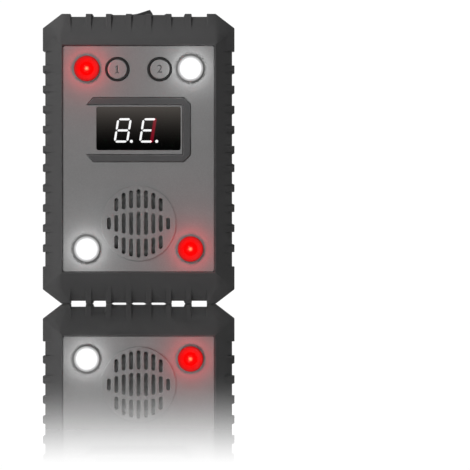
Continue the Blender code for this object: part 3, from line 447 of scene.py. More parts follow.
@dataclass(frozen=True)
class SmokedWindow(Finish):
    """Smoked acrylic, with a painted reflection: a pale emitted sheen that fades from its top edge down."""

    painted_reflection: Colour = (0.056, 0.0495, 0.045)
    ior: float = 1.15
    fade_power: float = 2.4
    low: float = 62.0 * MM
    high: float = 80.0 * MM

    def dress(self, graph: Graph, shader: bpy.types.Node) -> None:
        """Tint what shows through, and lay the painted reflection and faint wipe marks over it.

        Args:
            graph: the material's node graph.
            shader: its Principled BSDF.
        """
        lines = LINES.place(graph, {"Fineness": 900.0, "Stretch": 0.08}).outputs["Mask"]
        place = graph.add("ShaderNodeTexCoord").outputs["Object"]
        height = graph.add("ShaderNodeSeparateXYZ", {"Vector": place}).outputs["Z"]
        # Painted reflection: emission brightest at the window's top, fading to none lower down.
        fade = graph.maths("POWER", graph.ranged(height, self.low, self.high), self.fade_power)
        painted_reflection = graph.mixed(fade, (0.0, 0.0, 0.0, 1.0), (*self.painted_reflection, 1.0))
        tint = graph.mixed(lines, (*self.colour, 1.0), (*(0.94 * part for part in self.colour), 1.0))
        graph.feed(shader, "Base Color", tint)
        graph.feed(shader, "Emission Color", painted_reflection)
        shader.inputs["Emission Strength"].default_value = 1.0
        shader.inputs["Transmission Weight"].default_value = 1.0
        shader.inputs["IOR"].default_value = self.ior
        rough = graph.ranged(lines, 0.0, 1.0, self.roughness, self.roughness + 0.02)
        graph.feed(shader, "Roughness", rough)


@dataclass(frozen=True)
class Laminate(Finish):
    """Green solder mask over copper tracks that run along the board."""

    def base(self, graph: Graph) -> object:
        """Tracks as paler bars in staggered rows, with bare laminate between.

        Args:
            graph: the material's node graph.

        Returns:
            The colour's socket.
        """
        place = graph.add("ShaderNodeTexCoord").outputs["Object"]
        parts = graph.add("ShaderNodeSeparateXYZ", {"Vector": place})
        flat = graph.add("ShaderNodeCombineXYZ", {"X": parts.outputs["X"], "Y": parts.outputs["Z"]})
        tracks = graph.add("ShaderNodeTexBrick", {
            "Vector": flat.outputs[0], "Color1": (0.02, 0.17, 0.06, 1.0), "Color2": (0.03, 0.2, 0.07, 1.0),
            "Mortar": (*self.colour, 1.0), "Scale": 200.0, "Mortar Size": 0.06, "Brick Width": 2.6,
            "Row Height": 0.24})
        return tracks.outputs["Color"]


@dataclass(frozen=True)
class Banded(Finish):
    """A printed sleeve with one band of another colour between two heights."""

    band: Colour = (0.5, 0.3, 0.1)
    band_low: float = 0.0
    band_high: float = 0.01
    axis: str = "Z"

    def base(self, graph: Graph) -> object:
        """Switch colour at the band's two ends.

        Args:
            graph: the material's node graph.

        Returns:
            The colour's socket.
        """
        place = graph.add("ShaderNodeTexCoord").outputs["Object"]
        along = graph.add("ShaderNodeSeparateXYZ", {"Vector": place}).outputs[self.axis]
        above = graph.maths("GREATER_THAN", along, self.band_low)
        below = graph.maths("LESS_THAN", along, self.band_high)
        return graph.mixed(graph.maths("MULTIPLY", above, below), (*self.colour, 1.0), (*self.band, 1.0))


class Surface(Enum):
    """Every finish of the object."""

    # The case's lighter edges are rubbed wear and a painted highlight on its ribs.
    CASE = Finish("case_grey_plastic", (0.036, 0.0355, 0.036), 0.52, specular=0.35, wear_and_highlight=0.35,
                  worn_and_lit=(0.11, 0.11, 0.11), dust=0.1, grain_depth=0.35)
    PANEL = Finish("panel_grey_plastic", (0.165, 0.165, 0.165), 0.5, specular=0.35, wear_and_highlight=0.3,
                   worn_and_lit=(0.3, 0.3, 0.3), dust=0.06, variation=0.12)
    CAP = Finish("cap_grey_plastic", (0.18, 0.18, 0.18), 0.45, specular=0.4, wear_and_highlight=0.3,
                 worn_and_lit=(0.3, 0.3, 0.3))
    # Painted shade for the sunk numerals' floors, which are the cap's grey lying in shadow.
    PAINTED_NUMERAL_SHADE = Finish("numeral_painted_shade", (0.045, 0.045, 0.045), 0.7)
    TRIM = Finish("trim_grey_plastic", (0.055, 0.055, 0.056), 0.4, specular=0.4, wear_and_highlight=0.4,
                  worn_and_lit=(0.13, 0.13, 0.13), variation=0.15)
    WINDOW = SmokedWindow("smoked_acrylic", (0.07, 0.07, 0.07), 0.02, specular=0.0)
    MODULE = Finish("digit_module_black", (0.006, 0.006, 0.007), 0.5, specular=0.2)
    SEGMENT_WHITE = LitSegment("segment_white_lit", (1.0, 1.0, 1.0), 0.4, strength=16.0)
    SEGMENT_RED = LitSegment("segment_red_lit", (0.56, 0.0, 0.03), 0.4, strength=5.0)
    # The bezels' emission is painted light from their lamps.
    RED_CUP = PaintedGlowCup("bezel_lit_red", (0.02, 0.008, 0.008), 0.4, specular=0.05, glow=(0.84, 0.001, 0.001),
                     rim=(0.52, 0.002, 0.002))
    WHITE_CUP = PaintedGlowCup("bezel_lit_white", (0.02, 0.02, 0.021), 0.4, specular=0.1, glow=(1.15, 1.15, 1.15),
                       rim=(0.46, 0.46, 0.46))
    RED_LENS = LitLens("lamp_lens_red", (0.84, 0.001, 0.001), 0.2, specular=0.08, hot=(1.05, 0.2, 0.09),
                       rim=(0.8, 0.001, 0.001), strength=1.0, hot_reach=0.4)
    WHITE_LENS = LitLens("lamp_lens_white", (1.0, 1.0, 1.0), 0.1, rim=(0.9, 0.93, 1.0), strength=8.0)
    RING = Finish("ring_black_rubber", (0.014, 0.014, 0.014), 0.55, specular=0.3)
    SWITCH = Finish("switch_black_plastic", (0.03, 0.03, 0.031), 0.4, wear_and_highlight=0.3, worn_and_lit=(0.1, 0.1, 0.1),
                    dust=0.1)
    TACT = Finish("tact_black_plastic", (0.02, 0.02, 0.02), 0.45)
    SPEAKER = Finish("speaker_black_plastic", (0.018, 0.018, 0.018), 0.4)
    CONE = Finish("speaker_cone_film", (0.5, 0.5, 0.5), 0.6, variation=0.3)
    BOARD = Laminate("circuit_board_laminate", (0.01, 0.09, 0.035), 0.35, specular=0.5, grain_depth=0.1)
    CHIP = Finish("chip_black_epoxy", (0.02, 0.02, 0.02), 0.6, grain_depth=0.4)
    COPPER = Drawn("coil_copper_wire", (0.72, 0.28, 0.12), 0.3, metallic=1.0, stretch=1.0)
    FERRITE = Finish("coil_ferrite", (0.04, 0.038, 0.036), 0.7, grain_depth=0.5)
    SLEEVE = Banded("capacitor_sleeve_print", (0.012, 0.02, 0.06), 0.3, band=(0.55, 0.56, 0.6),
                    band_low=12.6 * MM, band_high=14.0 * MM, axis="X")
    BRASS = Drawn("terminal_brass_strip", (0.78, 0.58, 0.25), 0.28, metallic=1.0)
    STEEL = Drawn("contact_steel_strip", (0.66, 0.66, 0.64), 0.28, metallic=1.0, wear_and_highlight=0.3,
                  worn_and_lit=(0.85, 0.85, 0.84))
    SCREW = Drawn("screw_steel_zinc", (0.55, 0.55, 0.54), 0.32, metallic=1.0, stretch=1.0, wear_and_highlight=0.4,
                  worn_and_lit=(0.8, 0.8, 0.79))
    CELL = Banded("cell_sleeve_print", (0.03, 0.031, 0.034), 0.3, specular=0.6, band=(0.5, 0.33, 0.12),
                  band_low=58.0 * MM, band_high=70.0 * MM)
    SOLDER = Drawn("solder_tin", (0.62, 0.63, 0.64), 0.22, metallic=1.0, stretch=1.0)
    WIRE_RED = Finish("wire_red_sleeve", (0.5, 0.012, 0.012), 0.35, grain_depth=0.1)
    WIRE_BLACK = Finish("wire_black_sleeve", (0.015, 0.015, 0.015), 0.35, grain_depth=0.1)

    @property
    def material(self) -> bpy.types.Material:
        """The finish's Blender material."""
        return self.value.material()


# ---------------------------------------------------------------- mesh tools

class Axis(Enum):
    """The way a turned shape's axis runs."""

    DEPTH = "Y"
    UPRIGHT = "Z"


def mesh_piece(name: str, data: bmesh.types.BMesh, surface: Surface | None = None,
               smooth: float = 35.0) -> bpy.types.Object:
    """Turn a bmesh into a linked object with outward normals.

    Args:
        name: the object's name.
        data: the geometry, which is freed.
        surface: its finish.
        smooth: faces meeting at less than this angle, in degrees, are shaded smooth.

    Returns:
        The new object.
    """
    bmesh.ops.recalc_face_normals(data, faces=data.faces)
    mesh = bpy.data.meshes.new(name)
    data.to_mesh(mesh)
    data.free()
    mesh.shade_smooth()
    mesh.set_sharp_from_angle(angle=math.radians(smooth))
    piece = bpy.data.objects.new(name, mesh)
    bpy.context.scene.collection.objects.link(piece)
    if surface:
        mesh.materials.append(surface.material)
    return piece


def turn(data: bmesh.types.BMesh, profile: Sequence[Point], centre: Vector, axis: Axis = Axis.DEPTH,
         segments: int = 48, closed: bool = False) -> None:
    """Revolve a (radius, along) profile about an axis.

    Args:
        data: receives the faces.
        profile: points with their distance from the axis and their place along it.
        centre: a point on the axis.
        axis: the way the axis runs.
        segments: faces round the axis.
        closed: whether the profile's last point joins its first, as on a ring.
    """
    rings = []
    for radius, along in profile:
        count = segments if radius > 1e-7 else 1
        ring = []
        for step in range(count):
            angle = 2 * math.pi * step / segments
            a, b = radius * math.cos(angle), radius * math.sin(angle)
            if axis is Axis.DEPTH:
                spot = (centre.x + a, along, centre.z + b)
            else:
                spot = (centre.x + a, centre.y + b, along)
            ring.append(data.verts.new(spot))
        rings.append(ring)
    pairs = list(zip(rings, rings[1:]))
    if closed:
        pairs.append((rings[-1], rings[0]))
    for first, second in pairs:
        for step in range(segments):
            corners = [first[step % len(first)], first[(step + 1) % len(first)],
                       second[(step + 1) % len(second)], second[step % len(second)]]
            corners = list(dict.fromkeys(corners))
            if len(corners) > 2:
                data.faces.new(corners)


def arc(centre: Point, radius: float, start: float, end: float, steps: int = 6,
        tall: float | None = None) -> list[Point]:
    """Points of an arc between two angles in degrees.

    Args:
        centre: the arc's centre.
        radius: its radius.
        start: its first angle.
        end: its last angle.
        steps: how many chords it has.
        tall: its other radius, where it is part of an ellipse.

    Returns:
        The points, from the first angle to the last.
    """
    other = radius if tall is None else tall
    angles = [math.radians(start + (end - start) * step / steps) for step in range(steps + 1)]
    return [(centre[0] + radius * math.cos(a), centre[1] + other * math.sin(a)) for a in angles]


def add_rod(data: bmesh.types.BMesh, radius: float, start: float, end: float, centre: Vector,
            segments: int = 48) -> None:
    """Add a round rod that runs along Y.

    Args:
        data: receives the rod.
        radius: its radius.
        start: depth of its front.
        end: depth of its back.
        centre: a point on its axis.
        segments: faces round it.
    """
    turn(data, [(0, start), (radius, start), (radius, end), (0, end)], centre, segments=segments)


def add_box(data: bmesh.types.BMesh, low: Sequence[float], high: Sequence[float], round_by: float = 0.0,
            segments: int = 3) -> None:
    """Add a box with rounded edges.

    Args:
        data: receives the box.
        low: its lowest corner.
        high: its highest corner.
        round_by: radius of its edges.
        segments: faces across each rounded edge.
    """
    low, high = Vector(low), Vector(high)
    place = Matrix.Translation((low + high) / 2) @ Matrix.Diagonal((*(high - low), 1.0))
    made = bmesh.ops.create_cube(data, size=1.0, matrix=place)
    if round_by:
        edges = list({edge for vert in made["verts"] for edge in vert.link_edges})
        bmesh.ops.bevel(data, geom=edges, offset=round_by, segments=segments, affect="EDGES", profile=0.5)


def add_slab(data: bmesh.types.BMesh, first: Sequence[Sequence[float]],
             last: Sequence[Sequence[float]]) -> None:
    """Add a solid between two matching end faces.

    Args:
        data: receives the solid.
        first: corners of one end face.
        last: corners of the other.
    """
    near, far = ([data.verts.new(spot) for spot in ring] for ring in (first, last))
    data.faces.new(near)
    data.faces.new(far[::-1])
    for index in range(len(near)):
        after = (index + 1) % len(near)
        data.faces.new((near[index], far[index], far[after], near[after]))


def add_prism(data: bmesh.types.BMesh, outline: Sequence[Point], low_y: float, high_y: float) -> None:
    """Add an (x, z) outline drawn along Y between two depths."""
    add_slab(data, *([(x, y, z) for x, z in outline] for y in (low_y, high_y)))


def rounded_outline(low: Point, high: Point, radius: float, steps: int = 6) -> list[Point]:
    """A rectangle with round corners.

    Args:
        low: its lowest (x, z) corner.
        high: its highest (x, z) corner.
        radius: radius of its corners.
        steps: chords in each corner.

    Returns:
        The outline's (x, z) points.
    """
    left, right = low[0] + radius, high[0] - radius
    bottom, top = low[1] + radius, high[1] - radius
    outline = []
    for x, z, start in ((right, top, 0), (left, top, 90), (left, bottom, 180), (right, bottom, 270)):
        outline += arc((x, z), radius, start, start + 90, steps)
    return outline


def bake(piece: bpy.types.Object) -> bpy.types.Object:
    """Turn a piece's modifiers into plain mesh.

    Args:
        piece: the piece.

    Returns:
        The piece.
    """
    bpy.context.view_layer.update()
    graph = bpy.context.evaluated_depsgraph_get()
    mesh = bpy.data.meshes.new_from_object(piece.evaluated_get(graph), preserve_all_data_layers=True,
                                           depsgraph=graph)
    piece.modifiers.clear()
    piece.data = mesh
    return piece


def discard(*pieces: bpy.types.Object) -> None:
    """Remove helper objects."""
    for piece in pieces:
        bpy.data.objects.remove(piece, do_unlink=True)


def combine(piece: bpy.types.Object, other: bpy.types.Object, operation: str,
            tangled: bool = False) -> bpy.types.Object:
    """Cut, join or intersect a piece with another, which is used up.

    Args:
        piece: the piece.
        other: the object it is combined with.
        operation: the Boolean modifier's operation.
        tangled: whether either mesh may cross itself.

    Returns:
        The piece.
    """
    step = piece.modifiers.new(operation.lower(), "BOOLEAN")
    step.operation = operation
    step.solver = "EXACT"
    step.use_self = tangled
    step.object = other
    bake(piece)
    discard(other)
    return piece


def soften(piece: bpy.types.Object, width: float, segments: int = 2, angle: float = 28.0,
           keep: Callable[[bmesh.types.BMEdge], bool] | None = None) -> bpy.types.Object:
    """Round a piece's outward edges, and mark them for the edge wear and painted highlight.

    Args:
        piece: the piece.
        width: how far from the edge the rounding starts.
        segments: faces across the rounding.
        angle: the least angle between faces, in degrees, that is rounded.
        keep: a further test that an edge has to pass.

    Returns:
        The piece.
    """
    data = bmesh.new()
    data.from_mesh(piece.data)
    bmesh.ops.remove_doubles(data, verts=data.verts, dist=0.003 * MM)
    bmesh.ops.dissolve_limit(data, angle_limit=math.radians(0.4), verts=data.verts, edges=data.edges)
    weight = data.edges.layers.float.new("bevel_weight_edge")
    for edge in data.edges:
        if len(edge.link_faces) == 2 and edge.calc_face_angle_signed(0.0) > math.radians(angle):
            edge[weight] = 1.0 if keep is None or keep(edge) else 0.0
    data.to_mesh(piece.data)
    data.free()
    step = piece.modifiers.new("round", "BEVEL")
    step.limit_method = "WEIGHT"
    step.width = width
    step.segments = segments
    step.use_clamp_overlap = False
    bake(piece)
    mark_edges(piece, width)
    return even_shading(piece)


def even_shading(piece: bpy.types.Object, angle: float = 40.0) -> bpy.types.Object:
    """Shade a piece so that its large faces stay flat and only its roundings blend.

    Args:
        piece: the piece.
        angle: edges sharper than this, in degrees, stay sharp.

    Returns:
        The piece.
    """
    earlier = piece.data.attributes.get("custom_normal")
    if earlier:
        piece.data.attributes.remove(earlier)
    piece.data.shade_smooth()
    piece.data.set_sharp_from_angle(angle=math.radians(angle))
    step = piece.modifiers.new("weighted", "WEIGHTED_NORMAL")
    step.weight = 100
    step.keep_sharp = True
    return bake(piece)


def mark_edges(piece: bpy.types.Object, width: float) -> None:
    """Store 1 in the edge attribute at points that lie only on narrow faces, which are the roundings.

    Args:
        piece: the piece.
        width: the rounding's width.
    """
    data = bmesh.new()
    data.from_mesh(piece.data)
    values = []
    for vert in data.verts:
        widest = 0.0
        for face in vert.link_faces:
            longest = max(edge.calc_length() for edge in face.edges)
            widest = max(widest, face.calc_area() / max(longest, 1e-9))
        values.append(1.0 if widest < 1.3 * width else 0.0)
    data.free()
    store(piece, "edge", values)


def store(piece: bpy.types.Object, name: str, values: Sequence[float]) -> None:
    """Write one number for each point of a piece's mesh."""
    layer = piece.data.attributes.get(name) or piece.data.attributes.new(name, "FLOAT", "POINT")
    layer.data.foreach_set("value", values)


def cad_copy(node: str, name: str, surface: Surface) -> bpy.types.Object:
    """A merged copy of a CAD node's mesh, as the start of a finer piece.

    Args:
        node: the CAD node.
        name: the copy's name.
        surface: its finish.

    Returns:
        The copy.
    """
    data = bmesh.new()
    data.from_mesh(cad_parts[node].data)
    bmesh.ops.remove_doubles(data, verts=data.verts, dist=0.003 * MM)
    return mesh_piece(name, data, surface)


def points_piece(name: str, places: Iterable[Sequence[float]]) -> bpy.types.Object:
    """An object that holds only points.

    Args:
        name: its name.
        places: the points.

    Returns:
        The object.
    """
    mesh = bpy.data.meshes.new(name)
    mesh.from_pydata([tuple(place) for place in places], [], [])
    piece = bpy.data.objects.new(name, mesh)
    bpy.context.scene.collection.objects.link(piece)
    return piece


def text_piece(name: str, words: str, size: float, face_y: float, centre: Vector,
               depth: float) -> bpy.types.Object:
    """Flat lettering that looks to the front, as a closed solid.

    Args:
        name: the object's name.
        words: what it says.
        size: height of its lettering.
        face_y: depth of its front.
        centre: the middle of the lettering, of which x and z are used.
        depth: thickness behind the front.

    Returns:
        The new object.
    """
    curve = bpy.data.curves.new(name, "FONT")
    curve.body = words
    curve.size = size
    curve.align_x, curve.align_y = "CENTER", "CENTER"
    curve.extrude = depth / 2
    curve.resolution_u = 6
    item = bpy.data.objects.new(name, curve)
    bpy.context.scene.collection.objects.link(item)
    bpy.context.view_layer.update()
    mesh = bpy.data.meshes.new_from_object(item.evaluated_get(bpy.context.evaluated_depsgraph_get()))
    discard(item)
    mesh.transform(Matrix.Translation((centre.x, face_y + depth / 2, centre.z))
                   @ Matrix.Rotation(math.radians(90), 4, "X"))
    data = bmesh.new()
    data.from_mesh(mesh)
    bmesh.ops.remove_doubles(data, verts=data.verts, dist=0.001 * MM)
    return mesh_piece(name, data)


# ---------------------------------------------------------------- geometry node trees

class GeometryTree(Graph):
    """A Geometry Nodes tree with named inputs, which ends in Realize Instances and Set Material."""

    def __init__(self, name: str, inputs: dict[str, str]) -> None:
        """Make the tree's interface.

        Args:
            name: the tree's name.
            inputs: each input's name and the kind of its socket.
        """
        super().__init__(bpy.data.node_groups.new(name, "GeometryNodeTree"))
        face = self.tree.interface
        face.new_socket("Geometry", in_out="INPUT", socket_type="NodeSocketGeometry")
        face.new_socket("Geometry", in_out="OUTPUT", socket_type="NodeSocketGeometry")
        for title, kind in {**inputs, "Finish": "Material"}.items():
            face.new_socket(title, in_out="INPUT", socket_type=f"NodeSocket{kind}")
        self.entry = self.tree.nodes.new("NodeGroupInput").outputs
        self.exit = self.tree.nodes.new("NodeGroupOutput")

    def close(self, geometry: bpy.types.NodeSocket, keep_input: bool = False) -> None:
        """End the tree.

        Args:
            geometry: what the tree has made.
            keep_input: whether the incoming geometry stays beside it.
        """
        real = self.add("GeometryNodeRealizeInstances", {"Geometry": geometry}).outputs["Geometry"]
        dressed = self.add("GeometryNodeSetMaterial",
                           {"Geometry": real, "Material": self.entry["Finish"]})
        result = dressed.outputs["Geometry"]
        if keep_input:
            both = self.add("GeometryNodeJoinGeometry", {"Geometry": self.entry["Geometry"]})
            self.tree.links.new(result, both.inputs["Geometry"])
            result = both.outputs["Geometry"]
        self.feed(self.exit, "Geometry", result)

    def run(self, piece: bpy.types.Object, surface: Surface, **values: object) -> bpy.types.Object:
        """Run the tree on a piece and bake the result.

        Args:
            piece: the piece whose mesh goes in and comes out.
            surface: the finish of what the tree makes.
            values: the tree's inputs, with underscores for spaces.

        Returns:
            The piece.
        """
        step = piece.modifiers.new(self.tree.name, "NODES")
        step.node_group = self.tree
        keys = {item.name: item.identifier for item in self.tree.interface.items_tree
                if item.item_type == "SOCKET" and item.in_out == "INPUT"}
        step[keys["Finish"]] = surface.material
        for title, value in values.items():
            step[keys[title.replace("_", " ")]] = value
        return bake(piece)


def row_tree() -> GeometryTree:
    """Copies of an object in an even row.

    Returns:
        The tree.
    """
    tree = GeometryTree("even_row", {"Copy": "Object", "Count": "Int", "Start": "Vector",
                                     "Step": "Vector"})
    line = tree.add("GeometryNodeMeshLine", {
        "Count": tree.entry["Count"], "Start Location": tree.entry["Start"],
        "Offset": tree.entry["Step"]}, mode="OFFSET")
    copy = tree.add("GeometryNodeObjectInfo", {"Object": tree.entry["Copy"]})
    spread = tree.add("GeometryNodeInstanceOnPoints", {"Points": line.outputs["Mesh"],
                                                       "Instance": copy.outputs["Geometry"]})
    tree.close(spread.outputs["Instances"], keep_input=True)
    return tree


def places_tree() -> GeometryTree:
    """Copies of an object at each point of the incoming mesh, turned by the point's turn attribute.

    Returns:
        The tree.
    """
    tree = GeometryTree("copies_at_places", {"Copy": "Object"})
    copy = tree.add("GeometryNodeObjectInfo", {"Object": tree.entry["Copy"]})
    turned = tree.add("GeometryNodeInputNamedAttribute", {"Name": "turn"}, data_type="FLOAT_VECTOR")
    rotation = tree.add("FunctionNodeEulerToRotation", {"Euler": turned.outputs["Attribute"]})
    spread = tree.add("GeometryNodeInstanceOnPoints", {
        "Points": tree.entry["Geometry"], "Instance": copy.outputs["Geometry"],
        "Rotation": rotation.outputs["Rotation"]})
    tree.close(spread.outputs["Instances"])
    return tree


def slots_tree() -> GeometryTree:
    """Cuts a round-ended upright slot at each point of another object.

    Each point carries its height as the attribute middle, and half the straight run as half_run.

    Returns:
        The tree.
    """
    tree = GeometryTree("round_ended_slots", {"Slots": "Object", "Width": "Float", "Depth": "Float"})
    radius = tree.maths("MULTIPLY", tree.entry["Width"], 0.5)
    places = tree.add("GeometryNodeObjectInfo", {"Object": tree.entry["Slots"]}).outputs["Geometry"]
    sides = 28
    round_bar = tree.add("GeometryNodeMeshCylinder", {"Vertices": sides, "Radius": radius,
                                                      "Depth": tree.entry["Depth"]}).outputs["Mesh"]
    spun = tree.add("GeometryNodeTransform", {"Geometry": round_bar,
                                              "Rotation": Euler((0, 0, math.pi / sides))})
    lying = tree.add("GeometryNodeTransform", {"Geometry": spun.outputs["Geometry"],
                                               "Rotation": Euler((math.pi / 2, 0, 0))})
    bars = tree.add("GeometryNodeInstanceOnPoints", {"Points": places,
                                                     "Instance": lying.outputs["Geometry"]})
    real = tree.add("GeometryNodeRealizeInstances", {"Geometry": bars.outputs["Instances"]})
    run, centre = (tree.add("GeometryNodeInputNamedAttribute", {"Name": name}, data_type="FLOAT")
                   .outputs["Attribute"] for name in ("half_run", "middle"))
    height = tree.add("ShaderNodeSeparateXYZ", {
        "Vector": tree.add("GeometryNodeInputPosition").outputs["Position"]}).outputs["Z"]
    side = tree.maths("SIGN", tree.maths("SUBTRACT", height, centre))
    shift = tree.add("ShaderNodeCombineXYZ", {"Z": tree.maths("MULTIPLY", side, run)}).outputs[0]
    cutters = tree.add("GeometryNodeSetPosition", {"Geometry": real.outputs["Geometry"], "Offset": shift})
    cut = tree.add("GeometryNodeMeshBoolean", {"Mesh 1": tree.entry["Geometry"],
                                               "Mesh 2": cutters.outputs["Geometry"]},
                   operation="DIFFERENCE", solver="EXACT")
    tree.close(cut.outputs["Mesh"])
    return tree


def spring_tree() -> GeometryTree:
    """A conical wire spring, wide at its foot.

    Returns:
        The tree.
    """
    sizes = dict.fromkeys(("Turns", "Wide", "Narrow", "Height", "Wire"), "Float")
    tree = GeometryTree("conical_spring", {**sizes, "Place": "Vector", "Turn": "Rotation"})
    line = tree.add("GeometryNodeCurveSpiral", {
        "Resolution": 28, "Rotations": tree.entry["Turns"], "Start Radius": tree.entry["Wide"],
        "End Radius": tree.entry["Narrow"], "Height": tree.entry["Height"]})
    section = tree.add("GeometryNodeCurvePrimitiveCircle", {"Resolution": 12,
                                                            "Radius": tree.entry["Wire"]})
    wire = tree.add("GeometryNodeCurveToMesh", {
        "Curve": line.outputs["Curve"], "Profile Curve": section.outputs["Curve"], "Fill Caps": True})
    placed = tree.add("GeometryNodeTransform", {"Geometry": wire.outputs["Mesh"],
                                                "Translation": tree.entry["Place"],
                                                "Rotation": tree.entry["Turn"]})
    tree.close(placed.outputs["Geometry"], keep_input=True)
    return tree


ROW, PLACES, SLOTS, SPRING = row_tree(), places_tree(), slots_tree(), spring_tree()


def add_row(piece: bpy.types.Object, shape: bmesh.types.BMesh, surface: Surface, count: int,
            start: Sequence[float], step: Sequence[float]) -> None:
    """Add an even row of copies of a shape to a piece.

    Args:
        piece: receives the row.
        shape: what is copied, which is freed.
        surface: the copies' finish.
        count: how many there are.
        start: how far the first is moved.
        step: from each copy to the next.
    """
    pattern = mesh_piece("row_pattern", shape)
    ROW.run(piece, surface, Copy=pattern, Count=count, Start=start, Step=step)
    discard(pattern)


# ---------------------------------------------------------------- sub-assemblies

class Assembly:
    """Shared steps of every sub-assembly."""

    def seat(self, piece: bpy.types.Object, body: str, slot: str, *nodes: str) -> bpy.types.Object:
        """Tie a finished piece to its body.

        Args:
            piece: the piece.
            body: the CAD body it moves with.
            slot: the record's material slot; not used.
            nodes: the CAD nodes it stands for.

        Returns:
            The piece.
        """
        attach(piece, body)
        if nodes:
            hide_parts(*nodes)
        faces = len(piece.data.polygons)
        stands_for = ", ".join(nodes) or "no node"
        LOG.info("%s: %d faces, rides on %s, for %s", piece.name, faces, body, stands_for)
        return piece

    def fit(self, name: str, data: bmesh.types.BMesh, surface: Surface, slot: str, *nodes: str,
            body: str = "case", smooth: float = 35.0) -> bpy.types.Object:
        """Make a piece and tie it to its body.

        Args:
            name: the piece's name.
            data: its geometry, which is freed.
            surface: its finish.
            slot: the record's material slot.
            nodes: the CAD nodes it stands for.
            body: the CAD body it moves with.
            smooth: faces meeting at less than this angle, in degrees, are shaded smooth.

        Returns:
            The piece.
        """
        return self.seat(mesh_piece(name, data, surface, smooth), body, slot, *nodes)

    def refine(self, node: str, name: str, surface: Surface, slot: str, width: float,
               body: str = "case", **rounding: object) -> bpy.types.Object:
        """Stand a copy with rounded edges in for a CAD node.

        Args:
            node: the CAD node.
            name: the piece's name.
            surface: its finish.
            slot: the record's material slot.
            width: width of its roundings.
            body: the CAD body it moves with.
            rounding: further settings of the roundings.

        Returns:
            The piece.
        """
        return self.seat(soften(cad_copy(node, name, surface), width, **rounding), body, slot, node)

    def recolour(self, surface: Surface, *nodes: str) -> None:
        """Give CAD nodes that stay a better material.

        Args:
            surface: their finish.
            nodes: the CAD nodes.
        """
        for node in nodes:
            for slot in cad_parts[node].material_slots:
                slot.material = surface.material
            LOG.info("%s: kept, %s", node, surface.value.name)

    def build(self) -> None:
        """Make every piece."""
        raise NotImplementedError


def middle(node: str) -> Vector:
    """The middle of a CAD node's box."""
    low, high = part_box(node)
    return (low + high) / 2


@dataclass
class CaseShell(Assembly):
    """The two halves of the ribbed case."""

    edge: float = 0.22 * MM
    pitch: float = 8.17 * MM
    end_grooves: int = 7
    end_gap: float = 5.9 * MM
    side_grooves: int = 11
    side_gap: float = 5.7 * MM
    slope_front: float = -17.4 * MM
    slope_back: float = -12.4 * MM
    extra_depth: float = 0.6 * MM
    panel_seat: float = 0.9 * MM
    end_core: float = 1.2 * MM
    side_core: float = 1.0 * MM
    wedge_start: float = 0.36

    def build(self) -> None:
        """Round the outward edges of both halves, and deepen the grooves on the front's slopes."""
        for node in ("front_shell", "rear_cover"):
            shell = cad_copy(node, f"{node}_moulding", Surface.CASE)
            soften(shell, self.edge, keep=self.outside)
            if node == "front_shell":
                self.deepen(shell)
                even_shading(shell)
            self.seat(shell, "case", "case_grey", node)

    def deepen(self, shell: bpy.types.Object) -> None:
        """Cut a row of wedges into each of the four slopes.

        Args:
            shell: the front half of the case.
        """
        low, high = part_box("front_shell")
        panel_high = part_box("front_panel")[1]
        middle_z = (low.z + high.z) / 2
        for along_x, count, gap, inner, outer, core in (
                (True, self.end_grooves, self.end_gap, panel_high.z, high.z, self.end_core),
                (False, self.side_grooves, self.side_gap, panel_high.x, high.x, self.side_core)):
            base = middle_z if along_x else 0.0
            outline = self.wedge_outline(inner + self.panel_seat - base, outer - base, core)
            start = -(count - 1) / 2 * self.pitch
            for side in (1, -1):
                wedge = bmesh.new()
                add_slab(wedge, *([(across, y, base + side * out) if along_x else (side * out, y, across)
                                   for out, y in outline] for across in (-gap / 2, gap / 2)))
                grooves = points_piece("grooves", [])
                add_row(grooves, wedge, Surface.CASE, count,
                        (start, 0.0, 0.0) if along_x else (0.0, 0.0, middle_z + start),
                        (self.pitch, 0.0, 0.0) if along_x else (0.0, 0.0, self.pitch))
                combine(shell, grooves, "DIFFERENCE", tangled=True)

    def wedge_outline(self, inner: float, outer: float, core: float) -> list[Point]:
        """(outward, y) outline of a wedge that starts on the slope and is deepest at its outer edge.

        Args:
            inner: how far out the slope starts.
            outer: how far out the ribs reach.
            core: how far the grooves lie inside the ribs.

        Returns:
            The outline's corners.
        """
        run = outer - core - inner
        start = inner + self.wedge_start * run
        rise = (self.slope_back - self.slope_front) / run
        start_y = self.slope_front + self.wedge_start * run * rise
        steep = (self.slope_back + self.extra_depth - start_y) / (outer - core - start)
        beyond = outer + 0.5 * MM
        return [(start, start_y - 0.02 * MM), (beyond, start_y + steep * (beyond - start)),
                (beyond, self.slope_front), (start, self.slope_front)]

    def outside(self, edge: bmesh.types.BMEdge) -> bool:
        """Whether an edge is long enough and on the outside of the case.

        Args:
            edge: the edge.

        Returns:
            True if it is to be rounded.
        """
        low, high = (Vector(corner) for corner in CAD_BOX)
        spot = (edge.verts[0].co + edge.verts[1].co) / 2
        near = min(spot.x - low.x, high.x - spot.x, spot.z - low.z, high.z - spot.z - 2 * MM,
                   high.y - spot.y)
        return edge.calc_length() > 0.5 * MM and (near < 2.6 * MM or spot.y < low.y + 7 * MM)


